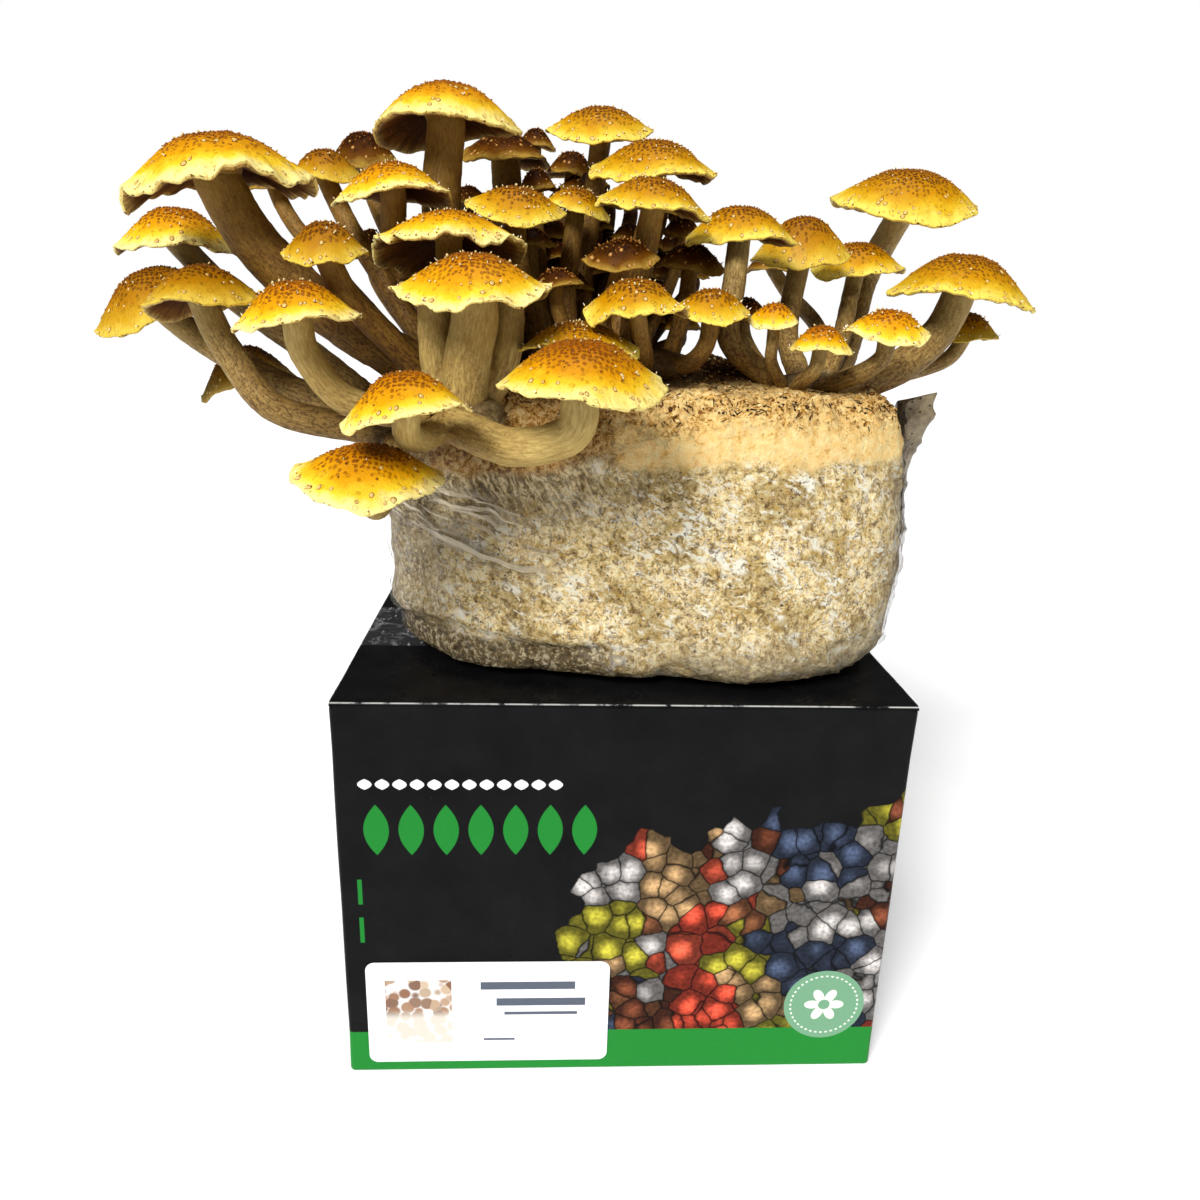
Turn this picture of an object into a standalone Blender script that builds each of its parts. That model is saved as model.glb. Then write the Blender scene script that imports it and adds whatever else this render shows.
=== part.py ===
"""Chestnut mushroom grow kit: a fruiting block in a cut-open film bag, standing on its closed carton.

Metres, +Z up, +X to the right and +Y away from the front. The origin is the centre of the
carton's base. Run with: blender --background --python part.py
"""
import math

import bmesh
import bpy
from mathutils import Matrix, Vector

MM = 0.001
GAP = 0.3 * MM

# Carton: a closed card box, measured outside
CARTON_WIDTH = 206 * MM
CARTON_DEPTH = 154 * MM
CARTON_HEIGHT = 157 * MM
CARD = 1.5 * MM
CARTON_EDGE = 1.0 * MM
FLAP_SEAM = 0.6 * MM

# Clear tape over the seam of the top flaps, and the paper label on the front
TAPE_WIDTH = 48 * MM
TAPE_Y = 2 * MM
TAPE_THICK = 0.2 * MM
TAPE_OVERHANG = 38 * MM
LABEL_WIDTH = 92 * MM
LABEL_HEIGHT = 46 * MM
LABEL_CENTRE = (-49 * MM, 28 * MM)
LABEL_CORNER = 3.5 * MM
LABEL_THICK = 0.2 * MM

# Fruiting block: a rounded slab of sawdust, and the film bag around it
BAG_FLOOR = CARTON_HEIGHT + GAP + TAPE_THICK + GAP
FILM = 0.4 * MM
BLOCK_FLOOR = BAG_FLOOR + FILM + GAP
BLOCK_CENTRE_X = 10 * MM
BLOCK_TURN = math.radians(-4)
BLOCK_HALF_WIDTH = 98 * MM
BLOCK_HALF_DEPTH = 64 * MM
BLOCK_HEIGHT = 101 * MM
BLOCK_SQUARENESS = 3.0
BLOCK_PROFILE = (
    (0.93, 0.0), (0.975, 0.06), (0.99, 0.22), (1.0, 0.5), (0.985, 0.8), (0.93, 0.945), (0.84, 1.0),
)
BLOCK_SIDES = 24
FILM_LEVELS = 5
BLOCK_LUMP = 1.6 * MM
MOUND_HEIGHT = 13 * MM
MOUND_CENTRE = (14 * MM, 2 * MM)
MOUND_SPREAD = (44 * MM, 24 * MM)
FILM_TOP = 86 * MM
FILM_TOP_BACK = 90 * MM
FIN_REACH = 15 * MM
FIN_TOP = 97 * MM
FIN_ROOT = 0.3
FIN_ANGLE = math.radians(0.25)

# Mushrooms
CAP_LIP = 0.026
CAP_HOLLOW = 0.42
CAP_DROOP = 2.4
CAP_RIPPLE = 0.035
CAP_WAVE = 0.045
SMALL_CAP = 29 * MM
BIG_CAP = 44 * MM
STEM_SPANS = 5
STEM_FOOT = 1.12
THICK_STEM = 10 * MM
THIN_STEM = 5 * MM

CAP_COLOURS = ((0.62, 0.27, 0.035), (0.70, 0.36, 0.05), (0.50, 0.22, 0.03))


class Mushroom:
    """One mushroom: its cap's rim centre, width, rise and lean, and its stem's width and route.

    depth is the cap's size from front to back, as a share of its width: crowded caps are narrower.
    """

    def __init__(self, at, width, rise, lean, stem, route, depth=1.0):
        self.at = Vector(at) * MM
        self.width = width * MM
        self.depth = depth
        self.rise = rise * MM
        right, front = (math.radians(angle) for angle in lean)
        upright = math.cos(right) * math.cos(front)
        self.axis = Vector((math.sin(right), -math.sin(front), upright)).normalized()
        self.stem = stem * MM
        self.route = [Vector(point) * MM for point in route]


# Each clump grows from one root on the block: the root's centre and half sizes, then its mushrooms.
# A mushroom gives its cap's centre, width and rise in millimetres, its lean to the right and to the
# front in degrees, its stem's width, and the points that its stem passes from the root to the cap.
CLUMPS = {
    "left_outer": ((-84, -42, 246), (9, 14, 8), (
        Mushroom((-167, 4, 304), 43, 14, (1, 5), 9, ((-84, -38, 248), (-118, 0, 266), (-151, 18, 285))),
        Mushroom((-170, -8, 280), 48, 17, (-19, 5), 9, ((-86, -42, 247), (-126, -26, 258), (-157, -10, 272))),
        Mushroom((-141, -50, 284), 38, 13, (-9, -4), 9, ((-86, -50, 245), (-118, -55, 252), (-134, -51, 270))),
        Mushroom((-148, 14, 254), 38, 15, (-14, 0), 8, ((-88, -38, 246), (-112, -14, 245), (-136, 8, 248))),
        Mushroom((-83, -90, 235), 46, 12, (2, 3), 8, ((-80, -50, 244), (-82, -62, 229), (-83, -82, 226))),
    )),
    "left_front": ((-56, -58, 252), (15, 10, 8), (
        Mushroom((-107, -68, 282), 39, 11, (-5, 8), 9, ((-68, -60, 252), (-93, -63, 256), (-105, -66, 270))),
        Mushroom((-53, -62, 290), 51, 13, (-1, 3), 14, ((-58, -58, 252), (-56, -59, 268), (-53, -61, 282))),
        Mushroom((-20, -95, 266), 50, 13, (-1, 7), 11, ((-60, -64, 250), (-40, -84, 246), (-22, -94, 252))),
        Mushroom((-70, -96, 257), 38, 12, (-8, 1), 8, ((-62, -62, 250), (-68, -76, 247), (-71, -90, 250))),
    )),
    "left_back": ((-58, -22, 256), (18, 16, 9), (
        Mushroom((-137, -35, 321), 61, 17, (-6, 3), 15, ((-68, -28, 260), (-102, -34, 281), (-125, -36, 302))),
        Mushroom((-100, -54, 300), 27, 11, (-2, 6), 8, ((-68, -36, 258), (-84, -45, 276), (-95, -52, 289))),
        Mushroom((-113, 10, 329), 28, 11, (-6, 5), 7, ((-66, -20, 260), (-90, -8, 294), (-104, 4, 313))),
        Mushroom((-137, 28, 327), 22, 9, (4, 5), 6, ((-70, -16, 258), (-102, 6, 287), (-128, 22, 313))),
        Mushroom((-104, 40, 338), 28, 13, (-2, 3), 7, ((-62, -8, 260), (-80, 16, 290), (-98, 34, 322))),
        Mushroom((-69, 16, 348), 55, 17, (-5, -2), 14, ((-60, -14, 258), (-68, 6, 288), (-71, 13, 322))),
        Mushroom((-85, -12, 322), 42, 12, (-4, 0), 9, ((-64, -24, 258), (-79, -6, 286), (-86, -3, 304))),
        Mushroom((-64, -28, 303), 53, 14, (-4, -14), 9, ((-58, -30, 258), (-61, -35, 276), (-63, -33, 291))),
        Mushroom((-103, 42, 307), 15, 8, (-4, 0), 5, ((-66, -8, 260), (-84, 14, 276), (-100, 34, 294))),
        Mushroom((-49, 63, 345), 39, 11, (4, 4), 12, ((-50, -10, 258), (-49, 28, 296), (-48, 54, 328))),
    )),
    "middle_back": ((-14, 10, 266), (22, 14, 8), (
        Mushroom((-37, 88, 354), 18, 8, (4, 5), 5, ((-26, 18, 266), (-30, 52, 300), (-36, 80, 336))),
        Mushroom((-10, 38, 352), 43, 11, (-1, 9), 8, ((-16, 16, 268), (-16, 38, 300), (-12, 43, 332))),
        Mushroom((-21, 72, 341), 24, 10, (2, 4), 6, ((-16, 20, 266), (-20, 48, 298), (-21, 66, 326))),
        Mushroom((-35, 34, 331), 16, 8, (-4, 5), 5, ((-26, 12, 266), (-32, 24, 294), (-35, 32, 318))),
        Mushroom((-42, -6, 319), 37, 9, (4, 12), 8, ((-30, 4, 266), (-37, -4, 286), (-42, -7, 306)), 0.9),
        Mushroom((-20, 18, 323), 27, 8, (10, 10), 7, ((-20, 8, 268), (-23, 12, 290), (-21, 17, 310))),
        Mushroom((10, 18, 337), 49, 12, (1, 10), 9, ((-4, 12, 268), (4, 16, 300), (10, 20, 323)), 0.95),
        Mushroom((24, 36, 316), 17, 8, (0, 4), 5, ((4, 16, 266), (14, 26, 284), (22, 35, 303))),
        Mushroom((-37, 16, 309), 20, 7, (-4, 3), 5, ((-26, 10, 266), (-32, 14, 284), (-36, 16, 299))),
    )),
    "middle_front": ((6, -26, 268), (20, 10, 7), (
        Mushroom((6, -23, 321), 41, 10, (8, 9), 8, ((0, -20, 268), (2, -13, 292), (5, -18, 310)), 0.9),
        Mushroom((-5, -35, 302), 27, 8, (-3, 8), 6, ((-4, -26, 268), (-11, -29, 282), (-7, -34, 293)), 0.9),
        Mushroom((24, 5, 303), 27, 9, (1, 10), 6, ((14, -20, 268), (20, -6, 282), (23, 4, 292))),
        Mushroom((-1, -53, 287), 35, 10, (-1, 6), 6, ((4, -30, 266), (4, -37, 271), (1, -49, 279))),
        Mushroom((27, -33, 286), 28, 9, (-1, 6), 6, ((8, -28, 268), (20, -31, 269), (26, -33, 276))),
        Mushroom((-20, -52, 275), 40, 8, (-1, 4), 7, ((-6, -30, 266), (-17, -38, 263), (-20, -50, 266))),
        Mushroom((-27, -26, 294), 20, 6, (-5, 3), 5, ((-6, -25, 268), (-20, -26, 275), (-26, -26, 285))),
    )),
    "right": ((70, -14, 260), (18, 13, 8), (
        Mushroom((41, -2, 313), 42, 12, (0, 7), 8, ((56, -14, 262), (37, -19, 277), (38, -14, 297)), 0.9),
        Mushroom((72, 25, 307), 40, 18, (-4, 3), 8, ((68, -8, 262), (65, 8, 277), (68, 20, 292)), 0.9),
        Mushroom((68, 60, 305), 24, 9, (-3, 4), 6, ((76, 0, 262), (85, 36, 280), (76, 58, 295)), 0.9),
        Mushroom((102, 48, 306), 40, 11, (-2, 12), 7, ((78, -4, 262), (90, 20, 278), (99, 44, 293)), 0.85),
        Mushroom((124, 60, 331), 63, 17, (0, 9), 11, ((82, 2, 260), (103, 52, 277), (115, 75, 304)), 0.95),
        Mushroom((127, -3, 296), 55, 15, (2, 6), 12, ((82, -12, 260), (106, -7, 269), (121, -3, 282))),
        Mushroom((142, 21, 280), 26, 10, (1, 5), 6, ((86, -4, 260), (114, 10, 265), (135, 19, 271))),
        Mushroom((89, -37, 281), 30, 9, (0, 6), 6, ((70, -22, 261), (80, -31, 266), (88, -37, 273))),
        Mushroom((65, -40, 276), 22, 8, (0, 6), 5, ((62, -24, 261), (61, -33, 264), (64, -40, 269))),
        Mushroom((50, -31, 284), 18, 7, (-1, 10), 4, ((58, -20, 261), (51, -28, 270), (50, -31, 277))),
        Mushroom((46, 6, 285), 21, 8, (0, 3), 5, ((58, -8, 262), (51, -1, 270), (47, 5, 278))),
    )),
}


def clear_scene():
    """Remove whatever the file started with."""
    for thing in list(bpy.data.objects):
        bpy.data.objects.remove(thing, do_unlink=True)


def principled(name, colour, roughness, alpha=1.0):
    """A Principled material of one colour."""
    material = bpy.data.materials.new(name)
    material.use_nodes = True
    shader = material.node_tree.nodes["Principled BSDF"]
    shader.inputs["Base Color"].default_value = (*colour, 1.0)
    shader.inputs["Roughness"].default_value = roughness
    shader.inputs["Metallic"].default_value = 0.0
    shader.inputs["Alpha"].default_value = alpha
    return material


def add_object(name, mesh_builder, material=None, smooth=True):
    """Turn a bmesh into a named object with outward faces."""
    bmesh.ops.recalc_face_normals(mesh_builder, faces=mesh_builder.faces)
    mesh = bpy.data.meshes.new(name)
    mesh_builder.to_mesh(mesh)
    mesh_builder.free()
    thing = bpy.data.objects.new(name, mesh)
    bpy.context.scene.collection.objects.link(thing)
    if material:
        mesh.materials.append(material)
    if smooth:
        mesh.shade_smooth()
        mesh.set_sharp_from_angle(angle=math.radians(50))
    return thing


def hide_tool(thing):
    """Mark an object as a cutter or a joined piece, not a part of the model."""
    thing.hide_render = True
    thing.display_type = "WIRE"


def combine(target, operand, operation):
    """Add an exact Boolean modifier."""
    modifier = target.modifiers.new(operand.name, "BOOLEAN")
    modifier.operation = operation
    modifier.solver = "EXACT"
    modifier.object = operand


def spaced_angles(count):
    """Angles evenly round a circle."""
    return [2 * math.pi * i / count for i in range(count)]


def skin(builder, rings, closed_start, closed_end):
    """Bridge rings of points with quads, and fan each closed end to a point or a flat polygon."""
    loops = [[builder.verts.new(point) for point in ring] for ring in rings]
    count = len(loops[0])
    for lower, upper in zip(loops, loops[1:]):
        for i in range(count):
            j = (i + 1) % count
            builder.faces.new((lower[i], lower[j], upper[j], upper[i]))
    for loop, pole in ((loops[0], closed_start), (loops[-1], closed_end)):
        if pole is None:
            builder.faces.new(loop)
            continue
        tip = builder.verts.new(pole)
        for i in range(count):
            builder.faces.new((loop[i], loop[(i + 1) % count], tip))


def box_builder(lower, upper):
    """A plain box between two corners."""
    builder = bmesh.new()
    centre = (Vector(lower) + Vector(upper)) / 2
    size = Vector(upper) - Vector(lower)
    matrix = Matrix.Translation(centre) @ Matrix.Diagonal((*size, 1.0))
    bmesh.ops.create_cube(builder, size=1.0, matrix=matrix)
    return builder


def make_carton():
    """A folded card box: walls of one thickness, short flaps inside the long ones, and the top's seam.

    The base's outer flap reaches right across, so the base has no seam.
    """
    half_w = CARTON_WIDTH / 2
    half_d = CARTON_DEPTH / 2
    builder = box_builder((-half_w, -half_d, 0), (half_w, half_d, CARTON_HEIGHT))
    bmesh.ops.bevel(builder, geom=builder.edges[:], offset=CARTON_EDGE, segments=1, affect="EDGES")
    card = principled("black card", (0.012, 0.012, 0.013), 0.25)
    carton = add_object("carton", builder, card)
    inner_w = half_w - CARD
    inner_d = half_d - CARD
    cavity = box_builder((-inner_w, -inner_d, 2 * CARD), (inner_w, inner_d, CARTON_HEIGHT - 2 * CARD))
    # The short flaps reach half the carton's depth in from each side, so the middle is one card thick.
    well_w = half_w - half_d
    well = box_builder((-well_w, -inner_d, CARD), (well_w, inner_d, CARTON_HEIGHT - CARD))
    seam_low = (-inner_w, -FLAP_SEAM / 2, CARTON_HEIGHT - 3 * CARD)
    seam_high = (inner_w, FLAP_SEAM / 2, CARTON_HEIGHT + CARD)
    seam = box_builder(seam_low, seam_high)
    for name, part in (("carton_cavity", cavity), ("carton_well", well), ("carton_seam", seam)):
        cutter = add_object(name, part, smooth=False)
        hide_tool(cutter)
        combine(carton, cutter, "DIFFERENCE")
    return carton


def make_tape():
    """Clear tape along the top seam, turned down over both ends."""
    corner = CARTON_EDGE + GAP
    half_w = CARTON_WIDTH / 2 + GAP
    top = CARTON_HEIGHT + GAP
    turn = [math.radians(step) for step in (0, 30, 60, 90)]

    def outline(grow):
        right = [(half_w + grow, CARTON_HEIGHT - TAPE_OVERHANG)]
        for angle in turn:
            x = half_w - corner + (corner + grow) * math.cos(angle)
            z = top - corner + (corner + grow) * math.sin(angle)
            right.append((x, z))
        return right + [(-x, z) for x, z in reversed(right)]

    builder = bmesh.new()
    section = outline(TAPE_THICK) + outline(0)[::-1]
    near = [builder.verts.new((x, TAPE_Y - TAPE_WIDTH / 2, z)) for x, z in section]
    far = [builder.verts.new((x, TAPE_Y + TAPE_WIDTH / 2, z)) for x, z in section]
    last = len(section) - 1
    for i in range(last + 1):
        j = (i + 1) % (last + 1)
        builder.faces.new((near[i], near[j], far[j], far[i]))
    for i in range(last // 2):
        builder.faces.new((near[i], near[i + 1], near[last - i - 1], near[last - i]))
        builder.faces.new((far[i], far[i + 1], far[last - i - 1], far[last - i]))
    return add_object("tape", builder, principled("clear tape", (0.32, 0.32, 0.33), 0.12, alpha=0.5))


def make_label():
    """A blank paper label with round corners on the carton's front."""
    x0, z0 = LABEL_CENTRE
    inset_x = LABEL_WIDTH / 2 - LABEL_CORNER
    inset_z = LABEL_HEIGHT / 2 - LABEL_CORNER
    outline = []
    for corner, (side_x, side_z) in enumerate(((1, 1), (-1, 1), (-1, -1), (1, -1))):
        for step in range(4):
            angle = math.radians(90 * corner + 30 * step)
            x = x0 + side_x * inset_x + LABEL_CORNER * math.cos(angle)
            z = z0 + side_z * inset_z + LABEL_CORNER * math.sin(angle)
            outline.append((x, z))
    back = -CARTON_DEPTH / 2 - GAP
    rings = [[(x, y, z) for x, z in outline] for y in (back, back - LABEL_THICK)]
    builder = bmesh.new()
    skin(builder, rings, None, None)
    return add_object("label", builder, principled("white paper", (0.86, 0.86, 0.88), 0.35))


def block_point(angle, spread, height, grow):
    """A point on the block's side: a squared oval, wider by grow, with low lumps, turned on the carton."""
    power = 2 / BLOCK_SQUARENESS
    c = math.cos(angle)
    s = math.sin(angle)
    reach = grow + BLOCK_LUMP * math.sin(3 * angle + 0.4) * math.sin(5 * angle + 1.3)
    x = math.copysign(abs(c) ** power, c) * (BLOCK_HALF_WIDTH * spread + reach)
    y = math.copysign(abs(s) ** power, s) * (BLOCK_HALF_DEPTH * spread + reach)
    turned = Matrix.Rotation(BLOCK_TURN, 3, "Z") @ Vector((x, y, height))
    return turned + Vector((BLOCK_CENTRE_X, 0, 0))


def mound(x, y):
    """How far the casing heap on the block's top stands up at a point."""
    dx = (x - MOUND_CENTRE[0]) / MOUND_SPREAD[0]
    dy = (y - MOUND_CENTRE[1]) / MOUND_SPREAD[1]
    return MOUND_HEIGHT * math.exp(-dx * dx - dy * dy)


def block_side(angles, levels, grow):
    """Rings round the block's side at some of its profile's levels, grown outwards."""
    rings = []
    for spread, level in levels:
        height = BLOCK_FLOOR + level * BLOCK_HEIGHT
        rings.append([block_point(angle, spread, height, grow) for angle in angles])
    return rings


def block_rings(grow, lift, collar=None):
    """The block's rings from its flat bottom to its lumpy top, grown sideways and lifted on top.

    collar carries the side straight up to the height of the film's edge before the top rounds in.
    """
    angles = spaced_angles(BLOCK_SIDES)
    rings = block_side(angles, BLOCK_PROFILE[:FILM_LEVELS], grow)
    if collar:
        rings.append([Vector((point.x, point.y, collar)) for point in rings[-1]])
    rings += block_side(angles, BLOCK_PROFILE[FILM_LEVELS:], grow)
    for spread in (0.55, 0.25):
        ring = [block_point(angle, spread, BLOCK_FLOOR + BLOCK_HEIGHT, grow) for angle in angles]
        rings.append([point + Vector((0, 0, mound(point.x, point.y))) for point in ring])
    for ring in rings[-3:]:
        for point in ring:
            point.z += lift
    return rings


def fill_block(rings, lift):
    """Close the block's rings with a flat floor and the top of the mound."""
    x, y = MOUND_CENTRE
    builder = bmesh.new()
    peak = BLOCK_FLOOR + BLOCK_HEIGHT + MOUND_HEIGHT + lift
    skin(builder, rings, (BLOCK_CENTRE_X, 0, BLOCK_FLOOR), (x, y, peak))
    # Fixed diagonals keep the faces of a grown block parallel to the block's own.
    bmesh.ops.triangulate(builder, faces=builder.faces[:], quad_method="FIXED")
    return builder


def make_block():
    """The sawdust block, bare on top."""
    builder = fill_block(block_rings(0, 0), 0)
    return add_object("substrate_block", builder, principled("sawdust block", (0.55, 0.42, 0.24), 0.8))


def film_top(angle):
    """Height of the film's cut edge above the block's floor, around the block."""
    back = 0.5 + 0.5 * math.sin(angle)
    return FILM_TOP + (FILM_TOP_BACK - FILM_TOP) * back


def make_bag():
    """The film bag: an open-topped shell close round the block, its right gusset standing out as a fin."""
    angles = sorted(spaced_angles(BLOCK_SIDES) + [FIN_ANGLE, 2 * math.pi - FIN_ANGLE])

    def wall(grow, floor):
        rings = block_side(angles, BLOCK_PROFILE[:FILM_LEVELS], grow)
        for point in rings[0]:
            point.z = floor
        edge = [point.copy() for point in rings[-1]]
        for angle, point in zip(angles, edge):
            point.z = BLOCK_FLOOR + film_top(angle)
        for point in (edge[-1], edge[0], edge[1]):
            point.z = BLOCK_FLOOR + FIN_TOP
        outward = Matrix.Rotation(BLOCK_TURN, 3, "Z") @ Vector((FIN_REACH, 0, 0))
        edge[0] += outward
        rings[-1][0] += outward * FIN_ROOT
        return rings + [edge]

    outer = wall(GAP + FILM, BAG_FLOOR)
    inner = wall(GAP, BAG_FLOOR + FILM)
    builder = bmesh.new()
    outer_pole = Vector((BLOCK_CENTRE_X, 0, BAG_FLOOR))
    inner_pole = Vector((BLOCK_CENTRE_X, 0, BAG_FLOOR + FILM))
    skin(builder, outer + inner[::-1], outer_pole, inner_pole)
    return add_object("film_bag", builder, principled("clear film", (0.70, 0.66, 0.58), 0.2, alpha=0.4))


def make_block_clearance():
    """The space that the roots leave free: the block and its film with a thin gap."""
    collar = BLOCK_FLOOR + FILM_TOP_BACK + GAP
    builder = fill_block(block_rings(GAP + FILM + GAP, GAP, collar), GAP)
    clearance = add_object("block_clearance", builder, smooth=False)
    hide_tool(clearance)
    return clearance


def cap_point(mushroom, phase, angle, spread, height):
    """A point of the cap in its own frame: rings ripple outwards and wave up and down towards the rim."""
    flutter = max(0.0, (spread - 0.3) / 0.7) ** 1.5
    ripple = 1 + CAP_RIPPLE * flutter * math.sin(3 * angle + phase)
    wave = CAP_WAVE * mushroom.width * flutter * math.sin(2 * angle + 1.7 * phase)
    radius = mushroom.width / 2 * spread * ripple
    return Vector((radius * math.cos(angle), radius * mushroom.depth * math.sin(angle), height + wave))


def make_cap(name, mushroom, phase, material):
    """A domed cap with a thin wavy lip, hollow below, with a flat seat over the stem."""
    small = mushroom.width < SMALL_CAP
    angles = spaced_angles(8 if small else 12 if mushroom.width > BIG_CAP else 10)
    seat = 1.1 * mushroom.stem / mushroom.width
    lip = CAP_LIP * mushroom.width
    dome = (0.62, 1.0) if small else (0.45, 0.8, 1.0)
    profile = [(spread, mushroom.rise * (1 - spread ** CAP_DROOP)) for spread in dome]
    profile += [(0.93, -lip), (seat, CAP_HOLLOW * mushroom.rise)]
    rings = []
    for spread, height in profile:
        rings.append([cap_point(mushroom, phase, angle, spread, height) for angle in angles])
    builder = bmesh.new()
    skin(builder, rings, (0, 0, mushroom.rise), None)
    cap = add_object(name, builder, material)
    cap.rotation_mode = "QUATERNION"
    cap.rotation_quaternion = Vector((0, 0, 1)).rotation_difference(mushroom.axis)
    cap.location = mushroom.at
    return cap


def curve_through(points, samples):
    """Points along a smooth curve through the given ones, evenly shared between them."""
    padded = [2 * points[0] - points[1], *points, 2 * points[-1] - points[-2]]
    spans = len(points) - 1
    route = []
    for i in range(samples + 1):
        place = spans * i / samples
        span = min(int(place), spans - 1)
        t = place - span
        a, b, c, d = padded[span:span + 4]
        linear = (c - a) * t
        square = (2 * a - 5 * b + 4 * c - d) * t ** 2
        cubic = (3 * b - a - 3 * c + d) * t ** 3
        route.append(0.5 * (2 * b + linear + square + cubic))
    return route


def make_stem(name, mushroom):
    """A stem carried along its route and ending flat under the cap."""
    seat = mushroom.at + mushroom.axis * (CAP_HOLLOW * mushroom.rise - GAP)
    neck = seat - mushroom.axis * 0.45 * mushroom.stem
    route = curve_through([*mushroom.route, neck], STEM_SPANS - 1) + [seat]
    sides = 8 if mushroom.stem > THICK_STEM else 6 if mushroom.stem > THIN_STEM else 5
    side = Vector((1, 0, 0))
    around = spaced_angles(sides)
    rings = []
    for i, centre in enumerate(route):
        ahead = route[min(i + 1, len(route) - 1)]
        behind = route[max(i - 1, 0)]
        forward = (ahead - behind).normalized()
        if i >= len(route) - 2:
            forward = mushroom.axis
        side = (side - forward * side.dot(forward)).normalized()
        across = forward.cross(side)
        radius = mushroom.stem / 2 * (1 + (STEM_FOOT - 1) * (1 - i / STEM_SPANS))
        rings.append([centre + radius * (side * math.cos(a) + across * math.sin(a)) for a in around])
    builder = bmesh.new()
    skin(builder, rings, None, None)
    return add_object(name, builder, smooth=False)


def make_root(name, centre, half_sizes):
    """The rounded root that a clump's stems rise from."""
    builder = bmesh.new()
    sizes = Vector(half_sizes) * MM
    matrix = Matrix.Translation(Vector(centre) * MM) @ Matrix.Diagonal((*sizes, 1.0))
    bmesh.ops.create_uvsphere(builder, u_segments=10, v_segments=5, radius=1.0, matrix=matrix)
    return add_object(name, builder, principled(name, (0.52, 0.40, 0.22), 0.7))


def make_clump(label, centre, half_sizes, mushrooms, clearance):
    """One clump: its stems grown together at the root, and a cap on each stem."""
    stems = make_root("stems_" + label, centre, half_sizes)
    for i, mushroom in enumerate(mushrooms, 1):
        stem = make_stem(f"stem_{label}_{i}", mushroom)
        hide_tool(stem)
        combine(stems, stem, "UNION")
        name = f"cap_{label}_{i}"
        colour = CAP_COLOURS[i % len(CAP_COLOURS)]
        make_cap(name, mushroom, 2.4 * i, principled(name, colour, 0.4))
    combine(stems, clearance, "DIFFERENCE")


clear_scene()
make_carton()
make_tape()
make_label()
make_block()
make_bag()
block_clearance = make_block_clearance()
for clump_label, (root_centre, root_sizes, clump_mushrooms) in CLUMPS.items():
    make_clump(clump_label, root_centre, root_sizes, clump_mushrooms, block_clearance)
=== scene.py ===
import math

import bpy
import numpy as np
from mathutils import Matrix, Vector


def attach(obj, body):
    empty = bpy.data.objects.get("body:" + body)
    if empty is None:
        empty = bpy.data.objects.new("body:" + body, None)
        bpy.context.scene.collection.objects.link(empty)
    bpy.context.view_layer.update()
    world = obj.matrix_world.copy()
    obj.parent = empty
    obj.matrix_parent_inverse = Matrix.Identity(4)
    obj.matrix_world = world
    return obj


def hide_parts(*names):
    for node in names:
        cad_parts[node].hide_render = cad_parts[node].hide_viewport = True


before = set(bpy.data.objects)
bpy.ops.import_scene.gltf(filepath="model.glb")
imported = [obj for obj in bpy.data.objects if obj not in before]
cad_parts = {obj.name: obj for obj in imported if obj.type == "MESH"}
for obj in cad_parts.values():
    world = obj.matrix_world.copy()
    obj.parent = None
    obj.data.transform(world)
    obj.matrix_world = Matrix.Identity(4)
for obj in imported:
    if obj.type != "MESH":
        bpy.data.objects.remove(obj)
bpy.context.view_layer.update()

# Carton: a closed box of glossy black card, printed on its front. The side panels' short flaps fold
# in first, and the two long flaps lie over them and meet under the tape.
MM = 0.001
CARTON_SIZE = (206 * MM, 154 * MM, 157 * MM)
CARD = 1.5 * MM
CARD_FOLD = 1.6 * MM
CARTON_CORNER = 2.0 * MM
FLAP_GAP = 0.35 * MM
FLAP_SHORT = 0.45 * MM
FLAP_BEVEL = 0.4 * MM
CARD_DENT = 0.45 * MM
PRINT_FRONT = -75.5 * MM
BAND_TOP = 18.8 * MM
PRINT_GREEN = (0.014, 0.205, 0.028)
PRINT_WHITE = (0.78, 0.78, 0.78)
WORN_AND_HIGHLIGHT_GREY = (0.55, 0.54, 0.52)
GREEN_BARS = ((76.3, 86.9), (59.7, 70.7))
SEAL_CENTRE = (81.6 * MM, 29.7 * MM)
SEAL_RADIUS = 15.8 * MM
SEAL_GREEN = (0.16, 0.33, 0.20)
SEAL_PALE = (0.72, 0.76, 0.66)
PEBBLE = 9
PEBBLE_COLOURS = (
    (0.0, (0.60, 0.07, 0.035)), (0.16, (0.30, 0.11, 0.045)), (0.30, (0.055, 0.075, 0.13)),
    (0.43, (0.45, 0.42, 0.40)), (0.55, (0.16, 0.045, 0.02)), (0.66, (0.40, 0.36, 0.035)),
    (0.80, (0.42, 0.26, 0.12)), (0.92, (0.66, 0.10, 0.05)),
)


def bumps(places, size, seed=0):
    """Smooth random heights from -1 to 1: random values on a cubic lattice, blended between its corners."""
    scaled = np.asarray(places, dtype=np.float64) / size + 57.3 * seed
    corner = np.floor(scaled).astype(np.int64)
    share = scaled - corner
    share = share * share * (3 - 2 * share)
    total = np.zeros(scaled.shape[:-1])
    for step in np.ndindex(2, 2, 2):
        x, y, z = np.moveaxis(corner + step, -1, 0)
        key = (x * 73856093 ^ y * 19349663 ^ z * 83492791) & 0x7FFFFFF
        key = (key ^ key >> 13) * (key & 0xFFFF | 1) & 0x7FFFFFF
        key = (key ^ key >> 11) * 40503 & 0xFFFFFF
        weight = np.prod(np.where(step, share, 1 - share), axis=-1)
        total += weight * (key / 0x7FFFFF - 1)
    return total


def rough(places, size, octaves, seed=0):
    """Bumps in several sizes, each half as wide and half as high as the one before."""
    return sum(bumps(places, size / 2 ** i, seed + i) / 2 ** i for i in range(octaves))


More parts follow.
